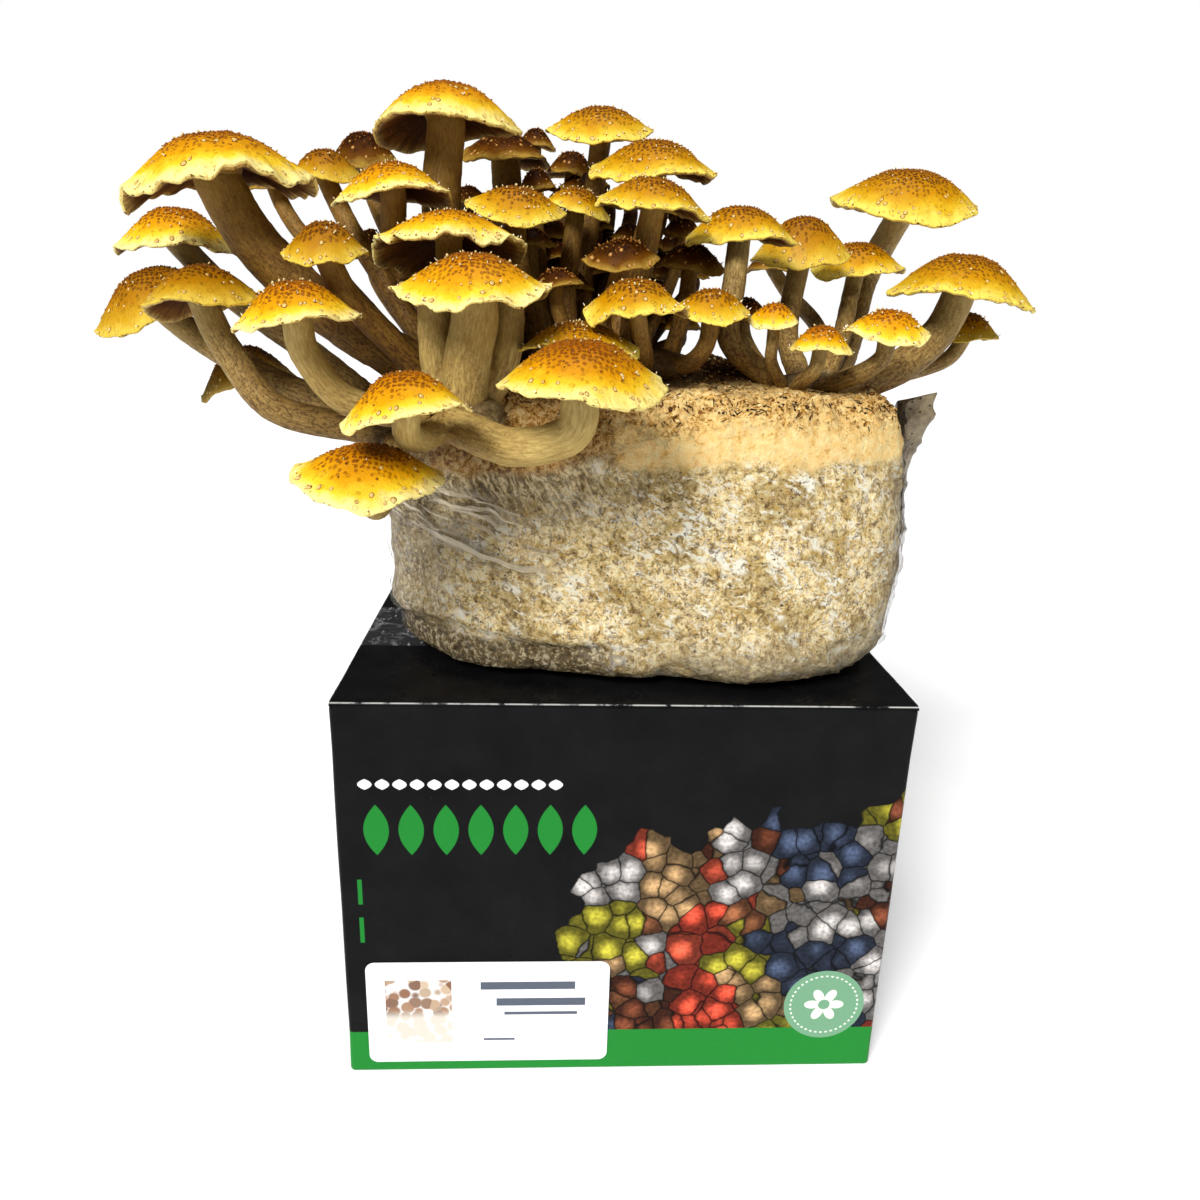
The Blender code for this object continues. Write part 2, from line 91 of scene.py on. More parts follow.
def grid_faces(rows, columns, wrap=True, first=0):
    """Quads between the neighbours of a grid of points; wrap joins the last column to the first."""
    row = np.arange(rows - 1)[:, None] * columns + first
    left = np.arange(columns if wrap else columns - 1)[None, :]
    right = (left + 1) % columns
    return np.stack([row + left, row + right, row + right + columns, row + left + columns], -1).reshape(-1, 4)


def fan_faces(ring_start, columns, tip, outwards=True):
    """Triangles from each edge of a ring of points to one tip."""
    left = np.arange(columns)
    right = (left + 1) % columns
    pair = (left, right) if outwards else (right, left)
    return np.stack([ring_start + pair[0], ring_start + pair[1], np.full(columns, tip)], -1)


def points_at(x, y, z):
    """Points from their three coordinates, each spread over the others' rows and columns."""
    return np.stack(np.broadcast_arrays(x, y, z), -1)


def tube_faces(rows, columns, first=0):
    """Faces of a closed tube: a wrapped grid, and a fan at each end to the two points after the grid."""
    end = first + rows * columns
    return [
        grid_faces(rows, columns, first=first),
        fan_faces(first, columns, end, outwards=False),
        fan_faces(first + (rows - 1) * columns, columns, end + 1),
    ]


def closed_tube(grid, ends):
    """The points and faces of a grid of rings, closed by a fan to each of two ends."""
    return np.concatenate([grid.reshape(-1, 3), ends]), tube_faces(*grid.shape[:2])


def shell_volume(points, faces):
    """Six times the volume inside the faces, below nought if they point inwards."""
    total = 0.0
    for part in faces:
        for last in range(2, part.shape[1]):
            a, b, c = points[part[:, 0]], points[part[:, last - 1]], points[part[:, last]]
            total += np.einsum("ij,ij->", a, np.cross(b, c))
    return total


def make_piece(name, points, faces, finishes, slots=None, marks=None, crisp=None):
    """faces is a list of index arrays and slots the finish of each. marks are values kept for each
    point, and crisp is the angle in degrees past which an edge stays sharp.
    """
    points = np.asarray(points, dtype=np.float64).reshape(-1, 3)
    if shell_volume(points, faces) < 0:
        faces = [part[:, ::-1] for part in faces]
    sizes = np.concatenate([np.full(len(part), part.shape[1]) for part in faces])
    corners = np.concatenate([part.ravel() for part in faces])
    mesh = bpy.data.meshes.new(name)
    mesh.vertices.add(len(points))
    mesh.vertices.foreach_set("co", points.astype(np.float32).ravel())
    mesh.loops.add(len(corners))
    mesh.loops.foreach_set("vertex_index", corners.astype(np.int32))
    mesh.polygons.add(len(sizes))
    mesh.polygons.foreach_set("loop_start", np.concatenate([[0], np.cumsum(sizes)[:-1]]).astype(np.int32))
    for finish in finishes:
        mesh.materials.append(finish.material)
    if slots:
        kinds = np.concatenate([np.full(len(part), slot) for part, slot in zip(faces, slots)])
        mesh.polygons.foreach_set("material_index", kinds.astype(np.int32))
    mesh.update(calc_edges=True)
    mesh.shade_smooth()
    if crisp:
        mesh.set_sharp_from_angle(angle=math.radians(crisp))
    for mark, values in (marks or {}).items():
        flat = np.asarray(values, dtype=np.float32)
        vector = flat.ndim > 1 and flat.shape[-1] == 3
        layer = mesh.attributes.new(mark, "FLOAT_VECTOR" if vector else "FLOAT", "POINT")
        layer.data.foreach_set("vector" if vector else "value", flat.ravel())
    piece = bpy.data.objects.new(name, mesh)
    bpy.context.scene.collection.objects.link(piece)
    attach(piece, "root")
    return piece


class Value:
    """A number that a finish's nodes work out. Plain sums on it add the nodes that work them out.

    A comparison is 1 where it holds and 0 elsewhere, | is the greater and & the lesser of two.
    """

    def __init__(self, finish, socket):
        self.finish = finish
        self.socket = socket

    def __add__(self, other):
        return self.finish.calc("ADD", self, other)

    def __sub__(self, other):
        return self.finish.calc("SUBTRACT", self, other)

    def __rsub__(self, other):
        return self.finish.calc("SUBTRACT", other, self)

    def __mul__(self, other):
        return self.finish.calc("MULTIPLY", self, other)

    def __truediv__(self, other):
        return self.finish.calc("DIVIDE", self, other)

    def __mod__(self, other):
        return self.finish.calc("MODULO", self, other)

    def __or__(self, other):
        return self.finish.calc("MAXIMUM", self, other)

    def __and__(self, other):
        return self.finish.calc("MINIMUM", self, other)

    def __lt__(self, other):
        return self.finish.calc("LESS_THAN", self, other)

    def __gt__(self, other):
        return self.finish.calc("GREATER_THAN", self, other)

    def __abs__(self):
        return self.finish.calc("ABSOLUTE", self)

    def step(self, low, high, start=0.0, end=1.0):
        """Ease from start to end while the value goes from low to high."""
        node = self.finish.add("MapRange", {"interpolation_type": "SMOOTHSTEP"}, Value=self, From_Min=low,
                               From_Max=high, To_Min=start, To_Max=end)
        return Value(self.finish, node.outputs[0])

    def between(self, low, high, start=0.0, end=1.0):
        """Ease from start to end while the value, a length, goes between two lengths in millimetres."""
        return self.step(low * MM, high * MM, start, end)

    def wavy(self, wave, reach):
        """The value plus a wave times a reach in millimetres."""
        return wave * (reach * MM) + self

    def ramp(self, *stops, interpolation="LINEAR"):
        """The colours of the stops along the value."""
        node = self.finish.add("ValToRGB", Fac=self)
        node.color_ramp.interpolation = interpolation
        while len(node.color_ramp.elements) < len(stops):
            node.color_ramp.elements.new(1.0)
        for element, (place, colour) in zip(node.color_ramp.elements, stops):
            element.position = place
            element.color = (*colour, 1.0)
        return node.outputs["Color"]


class Finish:
    """A procedural finish: a Principled shader and the nodes that drive its sockets.

    Patterns take their size in millimetres, and follow the piece's own place unless told another.
    """

    def __init__(self, name, **sockets):
        self.material = bpy.data.materials.new(name)
        self.material.use_nodes = True
        self.nodes = self.material.node_tree.nodes
        self.shader = self.nodes["Principled BSDF"]
        self.place = self.add("TexCoord").outputs["Object"]
        self.paint(**sockets)

    def join(self, socket, value):
        """Link a socket to another node's output, or give it a plain value."""
        if isinstance(value, Value):
            value = value.socket
        if isinstance(value, bpy.types.NodeSocket):
            self.material.node_tree.links.new(value, socket)
        elif socket.type == "RGBA":
            socket.default_value = (*value[:3], 1.0)
        else:
            socket.default_value = value

    def add(self, kind, settings=None, **sockets):
        """Add a shader node with these settings and sockets."""
        node = self.nodes.new("ShaderNode" + kind)
        for name, value in (settings or {}).items():
            setattr(node, name, value)
        for name, value in sockets.items():
            self.join(node.inputs[name.replace("_", " ")], value)
        return node

    def paint(self, **sockets):
        """Set the shader's own sockets."""
        for name, value in sockets.items():
            self.join(self.shader.inputs[name.replace("_", " ")], value)

    def work_out(self, kind, operation, values):
        """A node of this kind that works out the operation on the values."""
        node = self.add(kind, {"operation": operation})
        for socket, value in zip(node.inputs, values):
            self.join(socket, value)
        return node.outputs[0]

    def calc(self, operation, *values):
        """A sum on numbers."""
        return Value(self, self.work_out("Math", operation, values))

    def move(self, operation, *values):
        """A sum on places."""
        return self.work_out("VectorMath", operation, values)

    def stretched(self, place, *factors):
        """A place with its three coordinates multiplied by the factors."""
        return self.move("MULTIPLY", place, factors)

    def turned(self, place, degrees):
        """A place turned about the y axis."""
        angle = math.radians(degrees)
        return self.add("VectorRotate", {"rotation_type": "Y_AXIS"}, Vector=place, Angle=angle).outputs[0]

    def warped(self, place, size, detail, reach):
        """A place pushed about by up to half the reach, by waves about size wide."""
        wave = self.add("TexNoise", Vector=place, Scale=1 / (size * MM), Detail=detail).outputs["Color"]
        push = self.move("SUBTRACT", wave, (0.5, 0.5, 0.5))
        push = self.add("VectorMath", {"operation": "SCALE"}, Vector=push, Scale=reach * MM).outputs[0]
        return self.move("ADD", place, push)

    def bearing(self, place):
        """Which way a place lies from the z axis, as a place on a ring of radius 1."""
        return self.move("NORMALIZE", self.stretched(place, 1.0, 1.0, 0.0))

    def part(self, axis, place=None):
        """One coordinate of a place, or one channel of a colour."""
        return Value(self, self.add("SeparateXYZ", Vector=place or self.place).outputs[axis])

    def noise(self, size, detail=3.0, roughness=0.5, place=None, distortion=0.0):
        """Cloudy values round a half, with lumps about size wide."""
        node = self.add("TexNoise", Vector=place or self.place, Scale=1 / (size * MM), Detail=detail,
                        Roughness=roughness, Distortion=distortion)
        return Value(self, node.outputs["Fac"])

    def cells(self, size, place=None, randomness=1.0, dimensions="3D"):
        """Cells about size wide: the distance from a cell's seed, the cell's random colour, and its seed."""
        node = self.add("TexVoronoi", {"voronoi_dimensions": dimensions}, Vector=place or self.place,
                        Scale=1 / (size * MM), Randomness=randomness)
        return Value(self, node.outputs["Distance"]), node.outputs["Color"], node.outputs["Position"]

    def cell_edges(self, size, place):
        """How far a point is from the edge of its cell."""
        node = self.add("TexVoronoi", {"feature": "DISTANCE_TO_EDGE"}, Vector=place, Scale=1 / (size * MM))
        return Value(self, node.outputs["Distance"])

    def blend(self, share, first, second, mode="MIX"):
        """One colour laid over another by a share."""
        node = self.add("Mix", {"data_type": "RGBA", "blend_type": mode})
        for index, value in ((0, share), (6, first), (7, second)):
            self.join(node.inputs[index], value)
        return node.outputs[2]

    def tinted(self, first, second):
        """Two colours multiplied."""
        return self.blend(1.0, first, second, "MULTIPLY")

    def mark(self, name):
        """A value kept for each point of the piece."""
        return Value(self, self.add("Attribute", {"attribute_name": name}).outputs["Fac"])

    def mark_place(self, name):
        """A place kept for each point of the piece."""
        return self.add("Attribute", {"attribute_name": name}).outputs["Vector"]

    def relief(self, height, depth, strength=1.0):
        """A surface raised by a height from 0 to 1 times a depth in millimetres."""
        return self.add("Bump", Height=height, Distance=depth * MM, Strength=strength).outputs["Normal"]


def box_outline(side_steps, corner_steps):
    """Points round a box's plan, as shares of its half sizes and directions at its round corners."""
    signs = np.array([(1, 1), (-1, 1), (-1, -1), (1, -1)], dtype=float)
    shares, directions = [], []
    for i in range(4):
        angle = math.pi / 2 * (i + np.linspace(0, 1, corner_steps + 1))
        turn = np.stack([np.cos(angle), np.sin(angle)], -1)
        along = np.linspace(0, 1, side_steps + 1)[1:-1, None]
        side = signs[i] * (1 - along) + signs[(i + 1) % 4] * along
        shares += [np.repeat(signs[i][None], len(turn), 0), side]
        directions += [turn, np.repeat(turn[-1:], len(side), 0)]
    return np.concatenate(shares), np.concatenate(directions)


def carton_walls():
    """The walls: the plan's outline at each height, drawn in at the foot and at the top fold."""
    width, depth, height = CARTON_SIZE
    shares, directions = box_outline(48, 5)
    turn = np.linspace(0, math.pi / 2, 5)
    top = height - CARD
    drawn_in = CARD_FOLD * (1 - np.sin(turn))
    foot = np.stack([drawn_in, drawn_in, CARD_FOLD * (1 - np.cos(turn))], -1)
    wall = np.stack([np.zeros(34), np.zeros(34), np.linspace(CARD_FOLD, top - CARD_FOLD, 36)[1:-1]], -1)
    fold = np.stack([CARD_FOLD * (1 - np.cos(turn)), 0 * turn, top - drawn_in], -1)
    rows = np.concatenate([foot, wall, fold])
    half = np.array([width / 2, depth / 2]) - rows[:, :2]
    corner = CARTON_CORNER - np.minimum(rows[:, 0], rows[:, 1])
    plan = shares * (half[:, None] - corner[:, None, None]) + directions * corner[:, None, None]
    points = np.concatenate([plan, np.broadcast_to(rows[:, None, 2:], (*plan.shape[:2], 1))], -1)
    ends = np.clip(np.minimum(points[..., 2], height - points[..., 2]) / (20 * MM), 0, 1)
    dent = CARD_DENT * ends * (0.6 + 0.4 * rough(points, 60 * MM, 3, seed=4))
    points[..., :2] -= directions * dent[..., None]
    return closed_tube(points, [(0, 0, 0), (0, 0, top)])


def carton_flap(side):
    """A long flap: its section, folded over from the wall, carried along the carton's width."""
    width, depth, height = CARTON_SIZE
    turn = np.linspace(0, math.pi / 2, 6)
    fold = np.stack([depth / 2 - CARD_FOLD * (1 - np.cos(turn)), height - CARD_FOLD * (1 - np.sin(turn))], -1)
    inwards = np.linspace(depth / 2 - CARD_FOLD, FLAP_GAP + FLAP_BEVEL, 18)[1:]
    run = np.stack([inwards, np.full(17, height)], -1)
    under = height - CARD + 0.1 * MM
    lip = np.array([(FLAP_GAP, height - FLAP_BEVEL), (FLAP_GAP, under)])
    back = np.array([(depth / 2 - 2 * CARD_FOLD, under)])
    section = np.concatenate([fold, run, lip, back])
    x = np.linspace(-1, 1, 60)[:, None] * (width / 2 - FLAP_SHORT)
    points = points_at(x, side * section[None, :, 0], section[None, :, 1])
    inside = np.clip((depth / 2 - np.abs(points[..., 1])) / (12 * MM), 0, 1)
    points[..., 2] -= CARD_DENT * inside * (0.5 + 0.5 * bumps(points, 45 * MM, seed=8))
    return closed_tube(points, [(end, side * depth / 4, height - CARD / 2) for end in (x[0, 0], x[-1, 0])])


def within(value, low, high):
    """Where a value lies between two others."""
    return (value > low) * (value < high)


def ovals(x, z, first, last, centre, pitch, height, width):
    """Where a row of pointed ovals lies: each is as wide as a parabola of its height leaves it."""
    across = abs((x - first * MM) % (pitch * MM) - pitch / 2 * MM)
    rise = (z - centre * MM) / (height / 2 * MM)
    bulge = (1.0 - rise * rise) * (width / 2 * MM)
    return (across < bulge) * within(x, first * MM, last * MM)


def heaped_pebbles(card, x, z):
    """Domed pebbles in patches of colour: where they lie, and their colours.

    The pebbles are the cells of a warped net that lie below a wavy slope and right of a wavy line.
    """
    flat = card.add("CombineXYZ", X=x, Y=z).outputs[0]
    net = card.warped(flat, PEBBLE, 2.0, 4)
    reach, chance, centre = card.cells(PEBBLE, place=net)
    edge = card.cell_edges(PEBBLE, net)
    centre_x, centre_z = card.part("X", centre), card.part("Y", centre)
    wave = card.noise(30, 2.0, place=centre)
    slope = wave * (30 * MM) + (centre_x * 0.18 + 85 * MM)
    left_side = wave * (20 * MM) + (centre_z * 0.16 - 38 * MM)
    patch_chance = card.cells(31, place=card.move("ADD", centre, (0.31, 0.22, 0.0)))[1]
    pick = card.part("X", chance) * 0.10 + card.part("X", patch_chance) * 0.92
    colour = pick.ramp(*PEBBLE_COLOURS, interpolation="CONSTANT")
    dome = reach.step(0.05, 0.62, 1.35, 0.20)
    crease = edge.step(-0.01, 0.06)
    shade = dome * crease * card.noise(1.6, 4.0, place=flat)
    colour = card.tinted(colour, shade.ramp((0, (0, 0, 0)), (0.75, (1.6, 1.6, 1.6))))
    return (centre_z < slope) * (centre_x > left_side), colour


def add_seal(card, x, z, colour):
    """A round pale-green seal over a colour, with a ring of dots and a plain rosette of six petals."""
    across = x - SEAL_CENTRE[0]
    up = z - SEAL_CENTRE[1]
    reach = card.calc("SQRT", across * across + up * up)
    bearing = card.calc("ARCTAN2", up, across)
    dots = (card.calc("COSINE", bearing * 40.0) > 0.1) * within(reach, 12.9 * MM, 13.6 * MM)
    petals = reach < abs(card.calc("COSINE", bearing * 3.0)) * (4.6 * MM) + 3.2 * MM
    rosette = petals * (reach > 2.3 * MM)
    colour = card.blend(reach < SEAL_RADIUS, colour, SEAL_GREEN)
    return card.blend(dots | rosette, colour, SEAL_PALE)


def worn_and_highlit_card(card, x, y, z):
    """Where the black is rubbed off at the edges and in specks, with a painted highlight along the top folds.
    """
    out_x = abs(x) - (CARTON_SIZE[0] / 2 - 1.3 * MM)
    out_y = abs(y) - (CARTON_SIZE[1] / 2 - 1.3 * MM)
    out_z = z - (CARTON_SIZE[2] - 1.3 * MM)
    edge_xy = out_x & out_y
    edge_z = (out_x | out_y) & out_z
    rubbed = (edge_xy | edge_z).step(0.45 * MM, 1.1 * MM) * card.noise(4, 6.0, 0.75).step(0.56, 0.70)
    specks = card.noise(1.1, 2.0, 0.5).step(0.80, 0.84)
    # A painted highlight: a pale broken line along the top folds.
    fold_highlight = edge_z.step(0.52 * MM, 0.74 * MM) * card.noise(7, 5.0, 0.7).step(0.38, 0.52)
    return rubbed | specks * 0.35 | fold_highlight


def card_finish():
    """Glossy black card worn grey at its edges, with a painted highlight on its top folds; printed on the
    front only.
    """
    card = Finish("black_card")
    x, y, z = (card.part(axis) for axis in "XYZ")
    black = card.noise(14, 4.0).ramp((0.3, (0.003, 0.003, 0.0035)), (0.7, (0.006, 0.006, 0.0065)))
    heap, pebbles = heaped_pebbles(card, x, z)
    printed = card.blend(heap, black, pebbles)
    for low, high in GREEN_BARS:
        bar = within(x, -96.2 * MM, -94.6 * MM) * within(z, low * MM, high * MM)
        printed = card.blend(bar, printed, PRINT_GREEN)
    printed = card.blend(ovals(x, z, -94.7, -8.0, 107.4, 12.4, 20.4, 9.0), printed, PRINT_GREEN)
    printed = card.blend(ovals(x, z, -94.9, -21.5, 125.6, 6.1, 4.2, 5.0), printed, PRINT_WHITE)
    printed = card.blend(z < BAND_TOP, printed, PRINT_GREEN)
    printed = add_seal(card, x, z, printed)
    wear_and_highlight = worn_and_highlit_card(card, x, y, z)
    colour = card.blend(y < PRINT_FRONT, black, printed)
    smear = card.noise(26, 5.0, 0.6).step(0.35, 0.75, 0.24, 0.42)
    card.paint(Base_Color=card.blend(wear_and_highlight * 0.75, colour, WORN_AND_HIGHLIGHT_GREY), Roughness=wear_and_highlight * 0.35 + smear,
               Specular_IOR_Level=0.07, Normal=card.relief(card.noise(5, 3.0), 0.12, 0.6))
    return card


black_card = card_finish()
carton_pieces = [
    make_piece("carton_walls", *carton_walls(), [black_card], crisp=50),
    make_piece("carton_flap_front", *carton_flap(-1), [black_card], crisp=50),
    make_piece("carton_flap_back", *carton_flap(1), [black_card], crisp=50),
]
for piece in carton_pieces:
    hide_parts("carton")


# Tape: clear packing tape over the seam of the flaps, turned down over both ends, with air caught
# under it in wrinkles.
TAPE_WIDTH = 48 * MM
TAPE_Y = 2 * MM
TAPE_DOWN = 38 * MM
TAPE_THICK = 0.06 * MM
TAPE_LIFT = 0.12 * MM


def tape_strip():
    """The carton's outline from end to end in the x-z plane, carried across the tape's width."""
    width, _, height = CARTON_SIZE
    half = width / 2 + TAPE_LIFT
    top = height + TAPE_LIFT
    turn = np.linspace(0, math.pi / 2, 7)
    corner = CARD_FOLD + TAPE_LIFT
    down = np.stack([np.full(30, half), np.linspace(height - TAPE_DOWN, top - corner, 31)[:-1]], -1)
    bend = np.stack([half - corner * (1 - np.cos(turn)), top - corner * (1 - np.sin(turn))], -1)
    over = np.stack([np.linspace(half - corner, 0, 110)[1:], np.full(109, top)], -1)
    right = np.concatenate([down, bend, over])
    away = np.concatenate([np.tile([1.0, 0.0], (30, 1)), np.stack([np.cos(turn), np.sin(turn)], -1),
                           np.tile([0.0, 1.0], (109, 1))])
    path = np.concatenate([right, right[-2::-1] * (-1, 1)])
    away = np.concatenate([away, away[-2::-1] * (-1, 1)])
    share = np.linspace(-1, 1, 60)
    y = TAPE_Y + share * TAPE_WIDTH / 2
    middle = points_at(path[:, None, 0], y[None], path[:, None, 1])
    slant = middle * (1.0, 0.35, 1.0) + np.array([0, 0.25, 0]) * middle[..., :1]
    ridge = np.clip(1 - 5 * np.abs(bumps(slant, 15 * MM, seed=21)), 0, 1) ** 2
    ridge *= np.clip(1.6 * bumps(middle, 40 * MM, seed=23) + 0.6, 0, 1)
    lift = (0.55 * ridge + 0.10 * rough(middle, 9 * MM, 3, seed=25)) * MM
    lift *= np.clip((1.02 - np.abs(share))[None] * 12, 0, 1)
    outer = middle.copy()
    inner = middle.copy()
    for layer, thick in ((outer, TAPE_THICK), (inner, 0)):
        layer[..., 0] += away[:, None, 0] * (np.maximum(lift, 0) + thick)
        layer[..., 2] += away[:, None, 1] * (np.maximum(lift, 0) + thick)
    ring = np.concatenate([outer, inner[:, ::-1]], 1)
    return closed_tube(ring, [ring[0].mean(0), ring[-1].mean(0)])


def tape_finish():
    """Clear glossy film over black, hazy where it lifts, with pale streaks painted along its wrinkles as
    highlights.
    """
    tape = Finish("clear_tape", Base_Color=(0.62, 0.63, 0.65), Roughness=0.13, IOR=1.48)
    haze = tape.noise(8, 5.0, 0.65, distortion=1.2).step(0.50, 0.72, 0.02, 0.22)
    streaks = tape.noise(2.2, 4.0, 0.6, place=tape.stretched(tape.place, 1.0, 0.25, 1.0))
    # The streaks are a painted highlight: pale film laid where the wrinkles would catch the light.
    tape.paint(Alpha=haze + streaks.step(0.58, 0.66, 0.0, 0.34),
               Normal=tape.relief(tape.noise(3, 3.0), 0.15, 0.7))
    return tape


tape_piece = make_piece("tape_strip", *tape_strip(), [tape_finish()], crisp=60)
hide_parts("tape")


# Label: a white paper label with round corners, stuck low on the left of the front. A beige patch of
# pebbles and some grey rules are printed on it.
LABEL_SIZE = (92 * MM, 46 * MM)
LABEL_CENTRE = (-49 * MM, 28 * MM)
LABEL_CORNER = 3.5 * MM
LABEL_THICK = 0.18 * MM
LABEL_GAP = 0.05 * MM
LABEL_RULES = ((-3, 33, 10.5, 14.0), (3, 37, 3.0, 6.5), (6, 34, -1.2, 0.2), (-2, 10, -13.2, -12.2))


def label_sheet():
    """A rounded rectangle in the x-z plane: rings drawn in to the middle, back, edge and front."""
    shares, directions = box_outline(24, 8)
    half = np.array(LABEL_SIZE) / 2
    outline = shares * (half - LABEL_CORNER) + directions * LABEL_CORNER
    grow = np.concatenate([np.linspace(0.1, 1, 8), np.linspace(1, 0.1, 8)])
    plan = outline[None] * grow[:, None, None]
    corner_reach = np.abs(plan[..., 0]) / half[0] + np.abs(plan[..., 1]) / half[1]
    lift = 0.35 * MM * np.clip(corner_reach - 1.55, 0, 1) ** 2 + LABEL_GAP
    front = np.repeat([0.0, LABEL_THICK], 8)[:, None]
    wall = -CARTON_SIZE[1] / 2
    x = LABEL_CENTRE[0] + plan[..., 0]
    z = LABEL_CENTRE[1] + plan[..., 1]
    points = np.stack([x, wall - lift - front, z], -1)
    ends = [(LABEL_CENTRE[0], wall - LABEL_GAP - thick, LABEL_CENTRE[1]) for thick in (0, LABEL_THICK)]
    return closed_tube(points, ends)


def label_finish():
    """White coated paper, faintly mottled, with a beige patch of pebbles and grey rules printed on it."""
    paper = Finish("white_paper", Specular_IOR_Level=0.4)
    x = paper.part("X") - LABEL_CENTRE[0]
    z = paper.part("Z") - LABEL_CENTRE[1]

    def panel(left, right, low, high):
        """Where a rectangle lies, from its sides in millimetres from the label's middle."""
        across = abs(x - (left + right) / 2 * MM) < (right - left) / 2 * MM
        return across * (abs(z - (low + high) / 2 * MM) < (high - low) / 2 * MM)

    white = paper.noise(9, 3.0).ramp((0.3, (0.80, 0.81, 0.84)), (0.7, (0.86, 0.87, 0.89)))
    reach, chance, _ = paper.cells(4.5)
    tint = paper.part("X", chance).ramp(
        (0.0, (0.20, 0.085, 0.040)), (0.35, (0.38, 0.22, 0.13)), (0.7, (0.56, 0.43, 0.30)),
        (1.0, (0.15, 0.06, 0.03)))
    tint = paper.blend(z.between(2, -3), tint, (0.62, 0.57, 0.49))
    picture = paper.blend(reach.step(0.48, 0.70), tint, (0.80, 0.79, 0.77))
    colour = paper.blend(panel(-39, -14, -14, 15), white, picture)
    for rule in LABEL_RULES:
        colour = paper.blend(panel(*rule), colour, (0.07, 0.085, 0.12))
    paper.paint(Base_Color=colour, Roughness=paper.noise(6).step(0.3, 0.7, 0.30, 0.42),
                Normal=paper.relief(paper.noise(0.5, 2.0), 0.02, 0.5))
    return paper


label_piece = make_piece("label_sheet", *label_sheet(), [label_finish()], crisp=40)
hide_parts("label")


# Block: sawdust bound into a brick by white threads of mycelium, lumpy where it filled its bag, with
# its bare top heaped up and crumbling where the clumps broke through.
BLOCK_FLOOR = 158.5 * MM
BLOCK_CENTRE_X = 10 * MM
BLOCK_TURN = math.radians(-4)
BLOCK_HALF = (98 * MM, 64 * MM)
BLOCK_HEIGHT = 101 * MM
BLOCK_SQUARENESS = 3.0
BLOCK_PROFILE = (
    (0.86, 0.0), (0.925, 0.02), (0.975, 0.08), (0.99, 0.22), (1.0, 0.5), (0.985, 0.8), (0.95, 0.93),
    (0.90, 0.985), (0.82, 1.0),
)
BLOCK_LUMP = 1.6 * MM
MOUND_HEIGHT = 13 * MM
MOUND_CENTRE = (14 * MM, 2 * MM)
MOUND_SPREAD = (44 * MM, 24 * MM)


def smooth_route(knots, samples):
    """Points along a smooth curve through the knots: between two knots a cubic that leaves each one
    in the direction of its neighbours."""
    knots = np.asarray(knots, dtype=float)
    padded = np.concatenate([2 * knots[:1] - knots[1:2], knots, 2 * knots[-1:] - knots[-2:-1]])
    spans = len(knots) - 1
    place = np.linspace(0, spans, samples)
    span = np.minimum(place.astype(int), spans - 1)
    t = (place - span)[:, None]
    a, b, c, d = (padded[span + i] for i in range(4))
    bend = 2 * a - 5 * b + 4 * c - d
    twist = 3 * b - a - 3 * c + d
    return 0.5 * (2 * b + (c - a) * t + bend * t ** 2 + twist * t ** 3)


def block_plan(angle, spread, grow):
    """A point of the block's plan: a squared oval with low lumps, grown outwards and turned on the carton."""
    power = 2 / BLOCK_SQUARENESS
    c = np.cos(angle)
    s = np.sin(angle)
    reach = grow + BLOCK_LUMP * np.sin(3 * angle + 0.4) * np.sin(5 * angle + 1.3)
    x = np.copysign(np.abs(c) ** power, c) * (BLOCK_HALF[0] * spread + reach)
    y = np.copysign(np.abs(s) ** power, s) * (BLOCK_HALF[1] * spread + reach)
    turn_c, turn_s = math.cos(BLOCK_TURN), math.sin(BLOCK_TURN)
    return x * turn_c - y * turn_s + BLOCK_CENTRE_X, x * turn_s + y * turn_c


def even_angles(count):
    """Angles that space the block's plan evenly: dense where the squared oval runs fast."""
    fine = np.linspace(0, 2 * math.pi, 20001)
    x, y = block_plan(fine, 1.0, 0)
    length = np.concatenate([[0], np.cumsum(np.hypot(np.diff(x), np.diff(y)))])
    return np.interp(np.linspace(0, length[-1], count + 1)[:-1], length, fine)


def block_swell(points):
    """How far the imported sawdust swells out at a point: broad lumps, and a bulge low on the right."""
    x, y, z = np.moveaxis(points, -1, 0)
    front = y < 0
    bulge = np.exp(-((x - 50 * MM) / (27 * MM)) ** 2 - ((z - 166 * MM) / (13 * MM)) ** 2) * front
    hollow = np.exp(-((x - 13 * MM) / (7 * MM)) ** 2 - ((z - 161 * MM) / (10 * MM)) ** 2) * front
    ledge = np.tanh((z - 174 * MM - 2 * MM * np.sin(x / (14 * MM))) / (1.6 * MM)) * np.exp(
        -((z - 174 * MM) / (9 * MM)) ** 2) * np.clip((4 * MM - x) / (20 * MM), 0, 1) * front
    return (2.3 * rough(points, 34 * MM, 2, seed=31) + 3.6 * bulge - 2.6 * hollow + 2.3 * ledge) * MM


